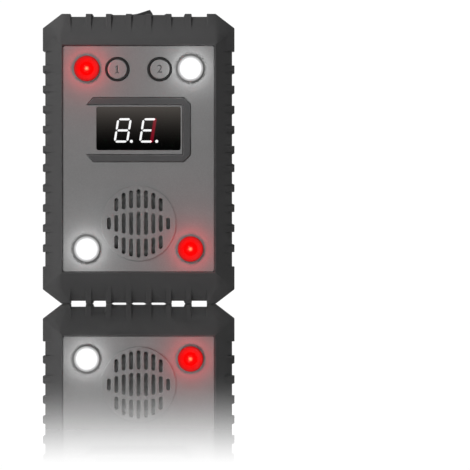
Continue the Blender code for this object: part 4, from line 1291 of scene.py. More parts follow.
@dataclass
class FrontPanel(Assembly):
    """The grey panel with its grille, openings, inlay and screw posts."""

    corner: float = 0.8 * MM
    edge: float = 0.16 * MM
    edge_fit: float = 0.17 * MM
    grille_radius: float = 15.2 * MM
    slot_width: float = 1.57 * MM
    slot_pitch: float = 3.0 * MM
    slot_middle: tuple[float, ...] = (4.8, 4.65, 4.1, 3.4, 2.4)
    slot_upper: tuple[Point, ...] = ((6.2, 13.9), (6.1, 13.4), (5.7, 12.4), (4.9, 10.3))
    window_half: Point = (17.15 * MM, 8.85 * MM)
    clearance: float = 0.2 * MM
    inlay_depth: float = 1.0 * MM
    post_radius: float = 2.5 * MM
    lamp_hole: float = 4.3 * MM
    button_hole: float = 5.0 * MM
    pilot_hole: float = 1.15 * MM

    def __post_init__(self) -> None:
        """Read the panel's depths from its CAD node."""
        low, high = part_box("front_panel")
        self.low, self.high = low, high
        self.raised_y = low.y
        self.face_y = low.y + 0.4 * MM
        self.back_y = self.face_y + 2.0 * MM

    def build(self) -> None:
        """Cut the openings, then the slots, then round every outward edge."""
        data = bmesh.new()
        grow = self.edge_fit
        add_prism(data, rounded_outline((self.low.x - grow, self.low.z - grow),
                                        (self.high.x + grow, self.high.z + grow), self.corner),
                  self.face_y, self.back_y)
        panel = mesh_piece("panel_moulding", data, Surface.PANEL)
        speaker = middle("speaker_cup")
        root = self.back_y - 0.5 * MM
        disc, posts = bmesh.new(), bmesh.new()
        add_rod(disc, self.grille_radius, self.raised_y, root, speaker, 96)
        for spot in self.post_places():
            add_rod(posts, self.post_radius, root, self.high.y, spot, 28)
        for name, data in (("grille_disc", disc), ("posts", posts)):
            combine(panel, mesh_piece(name, data), "UNION")
        self.cut_openings(panel)
        slots = self.slot_places(speaker)
        SLOTS.run(panel, Surface.PANEL, Slots=slots, Width=self.slot_width, Depth=8 * MM)
        discard(slots)
        rim_y = self.face_y + 0.3 * MM
        soften(panel, self.edge, keep=lambda edge: max(v.co.y for v in edge.verts) < rim_y)
        self.seat(panel, "case", "panel_grey", "front_panel")

    def post_places(self) -> list[Vector]:
        """The middles of the screws that hold the board."""
        return [middle(f"board_screw_{number}") for number in range(1, 5)]

    def cut_openings(self, panel: bpy.types.Object) -> None:
        """Cut the holes for lamps, buttons, window and screws, and the trim's inlay.

        Args:
            panel: the panel.
        """
        holes, inlay = bmesh.new(), bmesh.new()
        deep, shallow = self.raised_y - MM, self.back_y + 0.5 * MM
        for lamp in LAMPS:
            add_rod(holes, self.lamp_hole, deep, shallow, middle(f"led_{lamp}"))
        for number in (1, 2):
            add_rod(holes, self.button_hole, deep, shallow, middle(f"button_cap_{number}"))
        for spot in self.post_places():
            add_rod(holes, self.pilot_hole, self.back_y + MM, self.high.y + MM, spot, 20)
        window = middle("display_window")
        half_x, half_z = self.window_half
        add_prism(holes, rounded_outline((window.x - half_x, window.z - half_z),
                                         (window.x + half_x, window.z + half_z), 0.9 * MM), deep, shallow)
        add_prism(inlay, DisplayUnit.trim_outline(self.clearance), deep, self.face_y + self.inlay_depth)
        for name, data in (("holes", holes), ("inlay", inlay)):
            combine(panel, mesh_piece(name, data), "DIFFERENCE")

    def slot_places(self, centre: Vector) -> bpy.types.Object:
        """Points at the middle of each slot, with half the straight run between its round ends.

        Args:
            centre: the middle of the grille.

        Returns:
            An object that holds the points.
        """
        places, runs = [], []
        for column, reach in enumerate(self.slot_middle):
            for side in ((1, -1) if column else (1,)):
                x = centre.x + side * column * self.slot_pitch
                spans = [(-reach, reach)]
                if column < len(self.slot_upper):
                    near, far = self.slot_upper[column]
                    spans += [(near, far), (-far, -near)]
                for low, high in spans:
                    places.append((x, self.face_y, centre.z + (low + high) / 2 * MM))
                    runs.append(((high - low) * MM - self.slot_width) / 2)
        slots = points_piece("slot_places", places)
        store(slots, "half_run", runs)
        store(slots, "middle", [place[2] for place in places])
        return slots


@dataclass
class DisplayUnit(Assembly):
    """The trim, the smoked window and the two-digit module with its lit segments."""

    segment: float = 0.84 * MM
    digit_height: float = 9.9 * MM
    digit_width: float = 5.9 * MM
    digit_pitch: float = 10.3 * MM
    slant: float = math.radians(9)
    gap: float = 0.27 * MM
    first_x: float = -10.2 * MM
    digit_low: float = 65.6 * MM
    dot_radius: float = 0.62 * MM
    one_width: float = 1.3 * MM
    module_edge: float = 0.25 * MM

    @staticmethod
    def trim_outline(grow: float = 0.0) -> list[Point]:
        """(x, z) outline of the C-shaped trim, open on its left.

        Args:
            grow: how far the outline is moved outwards.

        Returns:
            The outline's corners.
        """
        low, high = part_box("display_trim")
        band = 2.8 * MM
        left, right = low.x - grow, high.x + grow
        top, bottom = high.z + grow, low.z - grow
        inner_x = high.x - band - 0.3 * MM - grow
        inner_top, inner_bottom = high.z - band - grow, low.z + band + grow
        return [(left + band, top), (right - band, top), (right, top - band), (right, bottom + band),
                (right - band, bottom), (left + band, bottom), (left, inner_bottom),
                (inner_x, inner_bottom), (inner_x, inner_top), (left, inner_top)]

    def build(self) -> None:
        """Make the trim, the window, the module and its segments."""
        low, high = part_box("display_trim")
        data = bmesh.new()
        add_prism(data, self.trim_outline(), low.y, high.y)
        trim = soften(mesh_piece("trim_inlay", data, Surface.TRIM), 0.3 * MM, segments=3)
        self.seat(trim, "case", "trim_grey", "display_trim")
        self.make_window()
        self.make_module()

    def make_window(self) -> None:
        """The window with its polished round corners and the flange behind."""
        low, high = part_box("display_window")
        step = 1.6 * MM
        flange_y = high.y - 1.0 * MM
        data = bmesh.new()
        lens = rounded_outline((low.x + step, low.z + step), (high.x - step, high.z - step), 0.7 * MM)
        add_prism(data, lens, low.y, flange_y + 0.3 * MM)
        window = mesh_piece("window_lens", data, Surface.WINDOW)
        flange = bmesh.new()
        add_prism(flange, rounded_outline((low.x, low.z), (high.x, high.z), 0.9 * MM), flange_y, high.y)
        combine(window, mesh_piece("flange", flange), "UNION")
        soften(window, 0.2 * MM, segments=3)
        self.seat(window, "case", "smoked_window", "display_window")

    def make_module(self) -> None:
        """The black module, and its lit bars and dots just proud of its face."""
        low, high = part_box("digit_display")
        data = bmesh.new()
        add_box(data, (low.x, low.y + 0.2 * MM, low.z), (high.x, high.y, high.z), self.module_edge)
        half = 0.25 * MM
        for x, z in self.pin_places():
            add_box(data, (x - half, high.y - MM, z - half), (x + half, high.y, z + half))
        self.fit("digit_module_body", data, Surface.MODULE, "digit_module", "digit_display")
        white, red = bmesh.new(), bmesh.new()
        face, back = low.y + 0.05 * MM, low.y + 0.3 * MM
        bar_end = self.digit_width - self.one_width - 0.3 * MM
        for number in (0, 1):
            base = self.first_x + number * self.digit_pitch
            for name, outline in self.bars().items():
                if number == 1 and name in ("b", "c"):
                    continue
                if number == 1 and name == "g":
                    outline = [(min(x, bar_end), z) for x, z in outline]
                add_prism(white, self.leaning(outline, base), face, back)
            dot = Vector((base + self.digit_width + 1.35 * MM, 0, self.digit_low + 0.5 * MM))
            add_rod(white, self.dot_radius, face, back, dot, 20)
        left, tall, wide = self.digit_width - 0.15 * MM - self.one_width, self.digit_height, self.one_width
        one = [(left, 0.25 * MM), (left + wide * 0.5, 0.0), (left + wide, 0.25 * MM),
               (left + wide, tall - 0.5 * MM), (left + wide * 0.6, tall), (left, tall - 0.8 * MM)]
        add_prism(red, self.leaning(one, self.first_x + self.digit_pitch), face, back)
        self.fit("digit_bars_white", white, Surface.SEGMENT_WHITE, "digit_module")
        self.fit("digit_bar_red", red, Surface.SEGMENT_RED, "digit_module")

    @staticmethod
    def pin_places() -> list[Point]:
        """(x, z) places of the module's two rows of pins."""
        low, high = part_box("digit_display")
        inset, pins = 0.6 * MM, 10
        span = high.x - low.x - 2 * MM
        return [(low.x + MM + column * span / (pins - 1), z)
                for column in range(pins) for z in (low.z + inset, high.z - inset)]

    def bars(self) -> dict[str, list[Point]]:
        """Outlines of the seven bars of an upright digit, with pointed ends.

        Returns:
            Each bar's usual letter and its (x, z) corners.
        """
        half, gap = self.segment / 2, self.gap
        left, right = half, self.digit_width - half
        levels = {"d": half, "g": self.digit_height / 2, "a": self.digit_height - half}
        bars = {}
        for name, z in levels.items():
            x0, x1 = left + gap, right - gap
            bars[name] = [(x0, z), (x0 + half, z + half), (x1 - half, z + half), (x1, z),
                          (x1 - half, z - half), (x0 + half, z - half)]
        for name, x, low, high in (("e", left, "d", "g"), ("f", left, "g", "a"), ("c", right, "d", "g"),
                                   ("b", right, "g", "a")):
            z0, z1 = levels[low] + gap, levels[high] - gap
            bars[name] = [(x, z0), (x + half, z0 + half), (x + half, z1 - half), (x, z1),
                          (x - half, z1 - half), (x - half, z0 + half)]
        return bars

    def leaning(self, outline: Sequence[Point], base_x: float) -> list[Point]:
        """Lean an upright outline to the right and put it in its place."""
        lean = math.tan(self.slant)
        return [(base_x + x + z * lean, self.digit_low + z) for x, z in outline]


LAMPS = ("top_left", "top_right", "bottom_left", "bottom_right")
RED_LAMPS = ("top_left", "bottom_right")
WHITE_LAMPS = ("top_right", "bottom_left")
LAMP_SETS = (("red", RED_LAMPS), ("white", WHITE_LAMPS))
LEADS = (-1.27 * MM, 1.27 * MM)


@dataclass
class SignalLamps(Assembly):
    """Four lamps in their bezels, lit red and white."""

    lens_radius: float = 2.5 * MM
    lens_flange: float = 2.9 * MM
    flange_y: float = -10.0 * MM
    bezel_radius: float = 5.2 * MM
    bezel_edge: float = 0.45 * MM
    lip_radius: float = 4.55 * MM
    lip_edge: float = 0.35 * MM
    barrel_radius: float = 4.0 * MM
    bore_radius: float = 2.8 * MM

    def build(self) -> None:
        """Make the bezels and the lenses."""
        low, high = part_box("led_bezel_top_left")
        front, rim, edge, inner = low.y, low.y + 0.85 * MM, self.bezel_edge, self.lip_edge
        profile = [*arc((self.bezel_radius - edge, front + edge), edge, -90, 0), (self.bezel_radius, rim),
                   (self.barrel_radius, rim), (self.barrel_radius, high.y), (self.bore_radius, high.y),
                   (self.bore_radius, front + 1.9 * MM),
                   (self.bore_radius + 0.15 * MM, front + 1.75 * MM),
                   *arc((self.lip_radius, front + inner), inner, -170, -90, 4)]
        data = bmesh.new()
        turn(data, profile, Vector((0, 0, 0)), segments=64, closed=True)
        pattern = mesh_piece("bezel_pattern", data)
        for colour, lamps in LAMP_SETS:
            centres = [middle(f"led_{lamp}") for lamp in lamps]
            bezels = points_piece(f"bezels_{colour}", [(spot.x, 0, spot.z) for spot in centres])
            PLACES.run(bezels, Surface[f"{colour.upper()}_CUP"], Copy=pattern)
            self.store_reach(bezels, centres, self.bezel_radius)
            even_shading(bezels, 35)
            self.seat(bezels, "case", "bezel_black", *(f"led_bezel_{lamp}" for lamp in lamps))
        discard(pattern)
        for colour, lamps in LAMP_SETS:
            self.make_lenses(colour, lamps)

    def store_reach(self, piece: bpy.types.Object, centres: Sequence[Vector], radius: float) -> None:
        """Store each point's distance from the nearest lamp's axis as a share of a radius.

        Args:
            piece: the piece.
            centres: points on the lamps' axes.
            radius: the radius.
        """
        store(piece, "radial", [min(math.hypot(vert.co.x - spot.x, vert.co.z - spot.z)
                                    for spot in centres) / radius for vert in piece.data.vertices])

    def make_lenses(self, colour: str, lamps: Sequence[str]) -> None:
        """Domed lenses with their flanges and leads, with the distance from each axis stored.

        Args:
            colour: red or white.
            lamps: which lamps they are.
        """
        data, centres = bmesh.new(), []
        radius, flange, flange_y = self.lens_radius, self.lens_flange, self.flange_y
        half = 0.25 * MM
        for lamp in lamps:
            low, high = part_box(f"led_{lamp}")
            centre = (low + high) / 2
            centres.append(centre)
            turn(data, [*arc((0, low.y + radius), radius, -90, 0, 9), (radius, flange_y), (flange, flange_y),
                        (flange, flange_y + MM), (0, flange_y + MM)], centre, segments=40)
            for side in LEADS:
                x, z = centre.x + side, centre.z
                add_box(data, (x - half, flange_y + 0.9 * MM, z - half), (x + half, high.y, z + half))
        lenses = mesh_piece(f"lamp_lenses_{colour}", data, Surface[f"{colour.upper()}_LENS"])
        self.store_reach(lenses, centres, radius)
        self.seat(lenses, "case", f"lamp_{colour}", *(f"led_{lamp}" for lamp in lamps))


@dataclass
class PushButtons(Assembly):
    """Two round push buttons in black rings, over their tact switches."""

    cap_radius: float = 3.95 * MM
    ring_radius: float = 4.8 * MM
    ring_bore: float = 4.2 * MM
    numeral_size: float = 4.6 * MM
    numeral_depth: float = 0.2 * MM
    numeral_height: float = 3.1 * MM
    flange_y: float = -13.6 * MM
    dish_depth: float = 0.072 * MM
    tact_bore: float = 2.0 * MM

    def build(self) -> None:
        """Make the rings, then each cap, switch and plunger."""
        data = bmesh.new()
        edge, bore, radius = 0.2 * MM, self.ring_bore, self.ring_radius
        brim = radius + 1.3 * MM
        for number in (1, 2):
            low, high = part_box(f"button_ring_{number}")
            flange, crest = high.y - 0.8 * MM, low.y + edge
            profile = [*arc((bore + edge, crest), edge, 180, 270, 3),
                       *arc((radius - edge, crest), edge, -90, 0, 3),
                       (radius, flange), (brim, flange), (brim, high.y), (bore, high.y)]
            turn(data, profile, (low + high) / 2, segments=64, closed=True)
        self.fit("button_ring_pair", data, Surface.RING, "switch_black", "button_ring_1", "button_ring_2")
        for number in (1, 2):
            self.make_cap(number)
            self.make_plunger(number)
        self.make_switches()

    def make_cap(self, number: int) -> None:
        """One cap: a gently dished face with its numeral sunk into it, and painted shade as a dark sheet on
        the numeral's floor.

        Args:
            number: 1 or 2, which is also what the numeral says.
        """
        low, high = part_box(f"button_cap_{number}")
        centre, radius = (low + high) / 2, self.cap_radius
        edge, stem, flange = 0.4 * MM, 1.5 * MM, self.flange_y
        under = flange + 0.7 * MM
        dish = [(radius * part, low.y + self.dish_depth * (1 - part ** 2))
                for part in (0, 0.2, 0.4, 0.6, 0.75)]
        profile = [*dish, *arc((radius - edge, low.y + edge), edge, -90, 0), (radius, flange),
                   (self.ring_radius, flange), (self.ring_radius, under), (stem, under),
                   (stem, high.y - 0.2 * MM), (stem - 0.2 * MM, high.y), (0, high.y)]
        data = bmesh.new()
        turn(data, profile, centre, segments=64)
        cap = mesh_piece(f"button_{number}_cap", data, Surface.CAP, smooth=50)
        sunk = self.numeral_depth
        cutter = self.figure("figure_cutter", number, 1.0, low.y - 0.3 * MM, low.y + sunk, centre)
        combine(cap, cutter, "DIFFERENCE")
        self.seat(cap, f"button_{number}", "panel_grey", f"button_cap_{number}")
        # Dark sheet of painted shade on the sunk numeral's floor.
        floor = self.figure(f"button_{number}_figure", number, 0.99, low.y + sunk * 0.55,
                            low.y + sunk * 1.55, centre)
        floor.data.materials.append(Surface.PAINTED_NUMERAL_SHADE.material)
        self.seat(floor, f"button_{number}", "panel_grey")

    def figure(self, name: str, number: int, share: float, front: float, back: float,
               centre: Vector) -> bpy.types.Object:
        """A numeral as a closed solid.

        Args:
            name: the object's name.
            number: 1 or 2, which is also what it says.
            share: its size as a share of the full size.
            front: depth of its front.
            back: depth of its back.
            centre: the middle of the cap.

        Returns:
            The new object.
        """
        if number == 2:
            return text_piece(name, "2", self.numeral_size * share, front, centre, back - front)
        stem, foot = 0.24 * MM, 0.75 * MM
        half = self.numeral_height / 2
        flag = -foot * 0.95
        outline = [(-foot, -half), (foot, -half), (foot, -half + stem), (stem, -half + stem),
                   (stem, half), (-0.05 * MM, half), (flag, half - 0.62 * MM), (flag, half - 0.92 * MM),
                   (-stem, half - 0.55 * MM), (-stem, -half + stem), (-foot, -half + stem)]
        data = bmesh.new()
        add_prism(data, [(centre.x + x * share, centre.z + z * share) for x, z in outline], front, back)
        return mesh_piece(name, data)

    def make_plunger(self, number: int) -> None:
        """The tact switch's plunger with a domed tip.

        Args:
            number: 1 or 2.
        """
        low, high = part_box(f"tact_plunger_{number}")
        radius = (high.x - low.x) / 2
        data = bmesh.new()
        turn(data, [(0, low.y), (radius * 0.6, low.y + 0.05 * MM), (radius, low.y + 0.35 * MM),
                    (radius, high.y), (0, high.y)], (low + high) / 2, segments=28)
        self.fit(f"plunger_{number}_pin", data, Surface.TACT, "tact_black", f"tact_plunger_{number}",
                 body=f"button_{number}")

    def make_switches(self) -> None:
        """Tact switch bodies with steel covers, their plungers' bores and four rivets each."""
        bodies, covers, bores = bmesh.new(), bmesh.new(), bmesh.new()
        thin, bore, inset = 0.25 * MM, self.tact_bore, 0.5 * MM
        for number in (1, 2):
            low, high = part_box(f"tact_switch_{number}")
            centre, cover_y = (low + high) / 2, low.y + thin
            add_box(bodies, (low.x, cover_y, low.z), high, 0.2 * MM, 2)
            add_rod(bores, bore, low.y - MM, low.y + 1.9 * MM, centre, 32)
            turn(covers, [(bore, low.y), (2.85 * MM, low.y), (2.85 * MM, cover_y), (bore, cover_y)],
                 centre, segments=32, closed=True)
            rivet = [(0, low.y + 0.05 * MM), (0.3 * MM, low.y + 0.1 * MM), (0.35 * MM, cover_y + 0.1 * MM),
                     (0, cover_y + 0.1 * MM)]
            for x in (low.x + inset, high.x - inset):
                for z in (low.z + inset, high.z - inset):
                    turn(covers, rivet, Vector((x, 0, z)), segments=12)
        body = mesh_piece("tact_switch_bodies", bodies, Surface.TACT)
        combine(body, mesh_piece("bores", bores), "DIFFERENCE")
        self.seat(body, "case", "tact_black", "tact_switch_1", "tact_switch_2")
        self.fit("tact_switch_covers", covers, Surface.STEEL, "contact_steel")


@dataclass
class Speaker(Assembly):
    """The ultrasonic speaker behind the grille: cup and cone."""

    wall: float = 1.0 * MM

    def build(self) -> None:
        """Turn the cup, and the cone with its rolled surround and dust cap."""
        low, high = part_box("speaker_cup")
        centre, radius = (low + high) / 2, (high.x - low.x) / 2
        edge, seat_y, floor_y = 0.2 * MM, low.y + 2.2 * MM, high.y - self.wall
        mouth, throat = radius - self.wall, radius - 2.4 * MM
        data = bmesh.new()
        turn(data, [(radius - edge, low.y), (radius, low.y + edge), (radius, high.y - 0.5 * MM),
                    (radius - 0.5 * MM, high.y), (0, high.y), (0, floor_y), (throat, floor_y),
                    (throat, seat_y), (mouth, seat_y), (mouth, low.y + edge), (mouth + edge, low.y)],
             centre, segments=72)
        self.fit("speaker_basket", data, Surface.SPEAKER, "speaker_black", "speaker_cup")
        low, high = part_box("speaker_cone")
        reach, back, thick = (high.x - low.x) / 2, high.y, 0.25 * MM
        roll = arc((reach - 1.5 * MM, low.y + 0.6 * MM), 1.3 * MM, 180, 0, 9, tall=-0.5 * MM)
        dome = arc((0, back - 0.9 * MM), 3.6 * MM, -90, 0, tall=1.04 * MM)
        front = [*dome, (4.4 * MM, back - 0.8 * MM), (10.8 * MM, low.y + 0.7 * MM), *roll,
                 (reach, low.y + 0.6 * MM)]
        behind = [(reach, low.y + 0.6 * MM + thick), (11.3 * MM, low.y + 0.75 * MM + thick),
                  (4.6 * MM, back), (0, back)]
        data = bmesh.new()
        turn(data, front + behind, centre, segments=72)
        self.fit("speaker_diaphragm", data, Surface.CONE, "speaker_cone", "speaker_cone")


@dataclass
class CircuitBoard(Assembly):
    """The main board with its chips, coil, capacitor and solder joints."""

    leg: float = 0.35 * MM
    leg_pitch: float = 1.27 * MM

    def build(self) -> None:
        """Make the board and what it carries."""
        self.refine("main_board", "board_laminate", Surface.BOARD, "circuit_board", 0.12 * MM)
        for node in ("microcontroller", "driver_chip"):
            self.make_chip(node)
        self.make_coil()
        self.make_capacitor()
        self.make_solder()

    def make_chip(self, node: str) -> None:
        """A moulded chip with a pin-one dimple and a row of legs along each side.

        Args:
            node: the CAD node it stands for.
        """
        low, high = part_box(node)
        inset, dent = 0.9 * MM, 0.12 * MM
        data, dimple = bmesh.new(), bmesh.new()
        add_box(data, (low.x + inset, low.y + 0.1 * MM, low.z), (high.x - inset, high.y, high.z), dent, 2)
        add_rod(dimple, 0.4 * MM, high.y - dent, high.y + MM,
                Vector((low.x + 2 * inset, 0, high.z - inset)), 20)
        chip = mesh_piece(f"{node}_body", data, Surface.CHIP)
        combine(chip, mesh_piece("dimple", dimple), "DIFFERENCE")
        self.seat(chip, "case", "chip_black", node)
        count = int((high.z - low.z - 0.8 * MM) / self.leg_pitch) + 1
        first_z = (low.z + high.z) / 2 - (count - 1) * self.leg_pitch / 2
        half, thick, mid_y = self.leg / 2, 0.15 * MM, low.y + 0.8 * MM
        legs = points_piece(f"{node}_legs", [])
        for side, x in ((-1, low.x), (1, high.x)):
            shape = bmesh.new()
            root, knee = x - side * (inset + 0.1 * MM), x - side * 0.55 * MM
            for start, end, y0, y1 in ((root, knee, mid_y, mid_y + thick),
                                       (knee, knee - side * thick, low.y, mid_y + thick),
                                       (knee, x, low.y, low.y + thick)):
                add_box(shape, (min(start, end), y0, -half), (max(start, end), y1, half))
            add_row(legs, shape, Surface.SOLDER, count, (0.0, 0.0, first_z), (0.0, 0.0, self.leg_pitch))
        self.seat(legs, "case", "contact_steel")

    def make_coil(self) -> None:
        """A ferrite drum core with copper turns wound in its waist."""
        low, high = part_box("step_up_coil")
        centre, radius = (low + high) / 2, (high.x - low.x) / 2
        waist, flange, edge = radius * 0.62, 1.0 * MM, 0.2 * MM
        data, ring = bmesh.new(), bmesh.new()
        turn(data, [(0, low.y), (radius - edge, low.y), (radius, low.y + edge), (radius, low.y + flange),
                    (waist, low.y + flange), (waist, high.y - flange), (radius, high.y - flange),
                    (radius, high.y - edge), (radius - edge, high.y), (0, high.y)], centre, segments=40)
        self.fit("coil_core", data, Surface.FERRITE, "chip_black", "step_up_coil")
        wire, turns = 0.16 * MM, 7
        turn(ring, arc((waist + 0.55 * MM, 0.0), wire, 0, 315, 7), centre, segments=36, closed=True)
        span = high.y - low.y - 2 * flange - 2 * wire
        winding = points_piece("coil_winding", [])
        add_row(winding, ring, Surface.COPPER, turns, (0.0, low.y + flange + wire, 0.0),
                (0.0, span / (turns - 1), 0.0))
        winding.data.shade_smooth()
        self.seat(winding, "case", "coil_copper")

    def make_capacitor(self) -> None:
        """A lying can with its crimp groove and vented end."""
        low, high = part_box("electrolytic_capacitor")
        centre, radius = (low + high) / 2, (high.x - low.x) / 2
        edge, crimp, half = 0.35 * MM, low.z + 1.6 * MM, 0.5 * MM
        data = bmesh.new()
        turn(data, [(0, high.z - 0.15 * MM), (radius * 0.6, high.z - 0.12 * MM), (radius - edge, high.z),
                    (radius, high.z - edge), (radius, crimp + half), (radius - 0.3 * MM, crimp),
                    (radius, crimp - half), (radius, low.z + edge), (radius - edge, low.z), (0, low.z)],
             centre, Axis.UPRIGHT, 40)
        self.fit("capacitor_can", data, Surface.SLEEVE, "capacitor_sleeve", "electrolytic_capacitor",
                 smooth=50)

    def make_solder(self) -> None:
        """Domed solder joints behind the module and the lamps, copied to their places."""
        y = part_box("main_board")[1].y
        data = bmesh.new()
        turn(data, [(0, 0.55 * MM), (0.3 * MM, 0.5 * MM), (0.5 * MM, 0.2 * MM), (0.85 * MM, 0.0),
                    (0, 0.0)], Vector((0, 0, 0)), segments=16)
        pattern = mesh_piece("joint_pattern", data)
        places = [(x, y, z) for x, z in DisplayUnit.pin_places()]
        for spot in (middle(f"led_{lamp}") for lamp in LAMPS):
            places += [(spot.x + side, y, spot.z) for side in LEADS]
        joints = points_piece("solder_joints", places)
        PLACES.run(joints, Surface.SOLDER, Copy=pattern)
        discard(pattern)
        joints.data.shade_smooth()
        self.seat(joints, "case", "contact_steel")


@dataclass
class RockerSwitch(Assembly):
    """The power rocker on the top edge and its snap-in body."""

    edge: float = 0.3 * MM

    def build(self) -> None:
        """Round the rocker and the body, and give the terminals their brass."""
        self.refine("rocker_button", "rocker_paddle", Surface.SWITCH, "switch_black", self.edge,
                    body="rocker", segments=3, angle=40)
        self.refine("rocker_switch_body", "switch_housing", Surface.SWITCH, "switch_black", 0.2 * MM,
                    keep=lambda edge: edge.calc_length() > 2 * MM)
        for number in (1, 2):
            self.refine(f"switch_terminal_{number}", f"switch_blade_{number}", Surface.BRASS,
                        "terminal_brass", 0.08 * MM)


@dataclass
class BatteryBay(Assembly):
    """The battery door, the three cells, their springs and their contacts."""

    grip_count: int = 9
    grip_pitch: float = 1.6 * MM
    grip_width: float = 0.8 * MM
    grip_depth: float = 0.5 * MM
    grip_length: float = 16.0 * MM
    spring_turns: float = 3.0
    spring_wire: float = 0.35 * MM
    cell_pitch: float = 14.8 * MM

    def build(self) -> None:
        """Make the door, then what it covers."""
        self.make_door()
        self.make_cells()
        self.make_springs()
        for name in ("bottom_bridge", "bottom_end", "top_bridge", "top_end"):
            self.refine(f"contact_{name}", f"plate_{name}", Surface.STEEL, "contact_steel", 0.1 * MM,
                        keep=lambda edge: edge.calc_length() > MM)

    def make_door(self) -> None:
        """The door, with grip grooves near its latch, cut in a row."""
        low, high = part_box("battery_door")
        door = cad_copy("battery_door", "door_cover", Surface.CASE)
        long, wide = self.grip_length / 2, self.grip_width / 2
        bar = bmesh.new()
        add_box(bar, (-long, high.y - self.grip_depth, -wide), (long, high.y + MM, wide))
        grips = points_piece("grip_grooves", [])
        add_row(grips, bar, Surface.CASE, self.grip_count, (0.0, 0.0, high.z - 5.0 * MM),
                (0.0, 0.0, -self.grip_pitch))
        combine(door, grips, "DIFFERENCE")
        rim_y = high.y - 0.7 * MM
        soften(door, 0.18 * MM, keep=lambda edge: min(v.co.y for v in edge.verts) > rim_y)
        self.seat(door, "door", "case_grey", "battery_door")

    def make_cells(self) -> None:
        """Three cells with crimped ends, the middle one turned over."""
        data, metal = bmesh.new(), bmesh.new()
        for number in (1, 2, 3):
            low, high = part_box(f"battery_cell_{number}")
            centre, radius = (low + high) / 2, (high.x - low.x) / 2
            edge, length = 0.6 * MM, high.z - low.z
            side, rim, step = radius - edge, length - MM, length - 1.5 * MM
            sleeve = [(0, rim - 0.25 * MM), (4.6 * MM, rim - 0.25 * MM), (side, rim),
                      *arc((side, rim - edge), edge, 90, 0, 4),
                      *arc((side, edge + 0.1 * MM), edge, 0, -90, 4), (5.4 * MM, 0.25 * MM), (0, 0.25 * MM)]
            nub = [(0, length), (2.2 * MM, length), (2.6 * MM, length - 0.3 * MM),
                   (2.6 * MM, length - 0.9 * MM), (4.4 * MM, rim), (4.4 * MM, step), (0, step)]
            disc = [(0, 0.4 * MM), (5.2 * MM, 0.4 * MM), (5.2 * MM, 0.1 * MM), (4.6 * MM, 0.0), (0, 0.0)]
            base, way = (high.z, -1) if number == 2 else (low.z, 1)
            for target, profile in ((data, sleeve), (metal, nub), (metal, disc)):
                turn(target, [(r, base + way * z) for r, z in profile], centre, Axis.UPRIGHT, 48)
        self.fit("cell_sleeves", data, Surface.CELL, "cell_sleeve",
                 *(f"battery_cell_{number}" for number in (1, 2, 3)), smooth=50)
        self.fit("cell_caps", metal, Surface.STEEL, "contact_steel")

    def make_springs(self) -> None:
        """Conical springs that press on the flat ends of the cells."""
        springs = points_piece("contact_springs", [])
        wire = self.spring_wire
        for number in (1, 2, 3):
            low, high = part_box(f"battery_spring_{number}")
            upside_down = number == 2
            place = ((number - 2) * self.cell_pitch, middle(f"battery_cell_{number}").y,
                     high.z - wire if upside_down else low.z + wire)
            SPRING.run(springs, Surface.STEEL, Turns=self.spring_turns, Wide=4.0 * MM, Narrow=2.4 * MM,
                       Height=high.z - low.z - 2 * wire, Wire=wire, Place=place,
                       Turn=(math.pi if upside_down else 0.0, 0.0, 0.0))
        springs.data.shade_smooth()
        self.seat(springs, "case", "contact_steel", *(f"battery_spring_{n}" for n in (1, 2, 3)))


@dataclass
class Fasteners(Assembly):
    """Pan-head screws with cross recesses, in the case and in the board."""

    def build(self) -> None:
        """Make both sets."""
        self.make_set("case_screw", "case_screws", 2.6 * MM, 1.2 * MM, 1.8 * MM, 0.8 * MM)
        self.make_set("board_screw", "board_screws", 2.0 * MM, 0.9 * MM, 1.3 * MM, 0.6 * MM)

    def make_set(self, node: str, name: str, head: float, shank: float, tall: float,
                 pitch: float) -> None:
        """One set of four screws, copied to their places.

        Args:
            node: the CAD nodes' name without its number.
            name: the piece's name.
            head: radius of the head.
            shank: radius of the shank.
            tall: height of the head.
            pitch: distance between threads.
        """
        low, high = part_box(f"{node}_1")
        seat_y, root = high.y - tall, shank * 0.78
        dome = [(head * math.sin(math.radians(a)),
                 seat_y + tall * (0.45 + 0.55 * math.cos(math.radians(a)))) for a in range(0, 91, 15)]
        profile = [*dome, (head, seat_y), (shank, seat_y)]
        y = seat_y
        while y - pitch > low.y + shank:
            profile += [(radius, y - share * pitch) for radius, share in
                        ((shank, 0.2), (root, 0.45), (root, 0.6), (shank, 0.9))]
            y -= pitch
        profile += [(shank * 0.6, low.y + 0.4 * shank), (0, low.y)]
        data, cross = bmesh.new(), bmesh.new()
        turn(data, profile, Vector((0, 0, 0)), segments=32)
        pattern = mesh_piece("screw_pattern", data)
        arm, wide, deep = head * 0.55, head * 0.13, tall * 0.6
        for half_x, half_z in ((arm, wide), (wide, arm)):
            add_box(cross, (-half_x, high.y - deep, -half_z), (half_x, high.y + MM, half_z))
        combine(pattern, mesh_piece("recess", cross), "DIFFERENCE", tangled=True)
        nodes = [f"{node}_{number}" for number in range(1, 5)]
        screws = points_piece(name, [(middle(screw).x, 0, middle(screw).z) for screw in nodes])
        turns = screws.data.attributes.new("turn", "FLOAT_VECTOR", "POINT")
        for index, value in enumerate(turns.data):
            value.vector = (0.0, math.radians(17 + 41 * index), 0.0)
        PLACES.run(screws, Surface.SCREW, Copy=pattern)
        discard(pattern)
        screws.data.shade_smooth()
        screws.data.set_sharp_from_angle(angle=math.radians(35))
        self.seat(screws, "case", "screw_steel", *nodes)


@dataclass
class Wiring(Assembly):
    """The leads from the battery contacts and the switch."""

    def build(self) -> None:
        """Give the leads their sleeves."""
        self.recolour(Surface.WIRE_RED, "battery_wire_red", "switch_wire_1")
        self.recolour(Surface.WIRE_BLACK, "battery_wire_black", "switch_wire_2")


# ---------------------------------------------------------------- studio

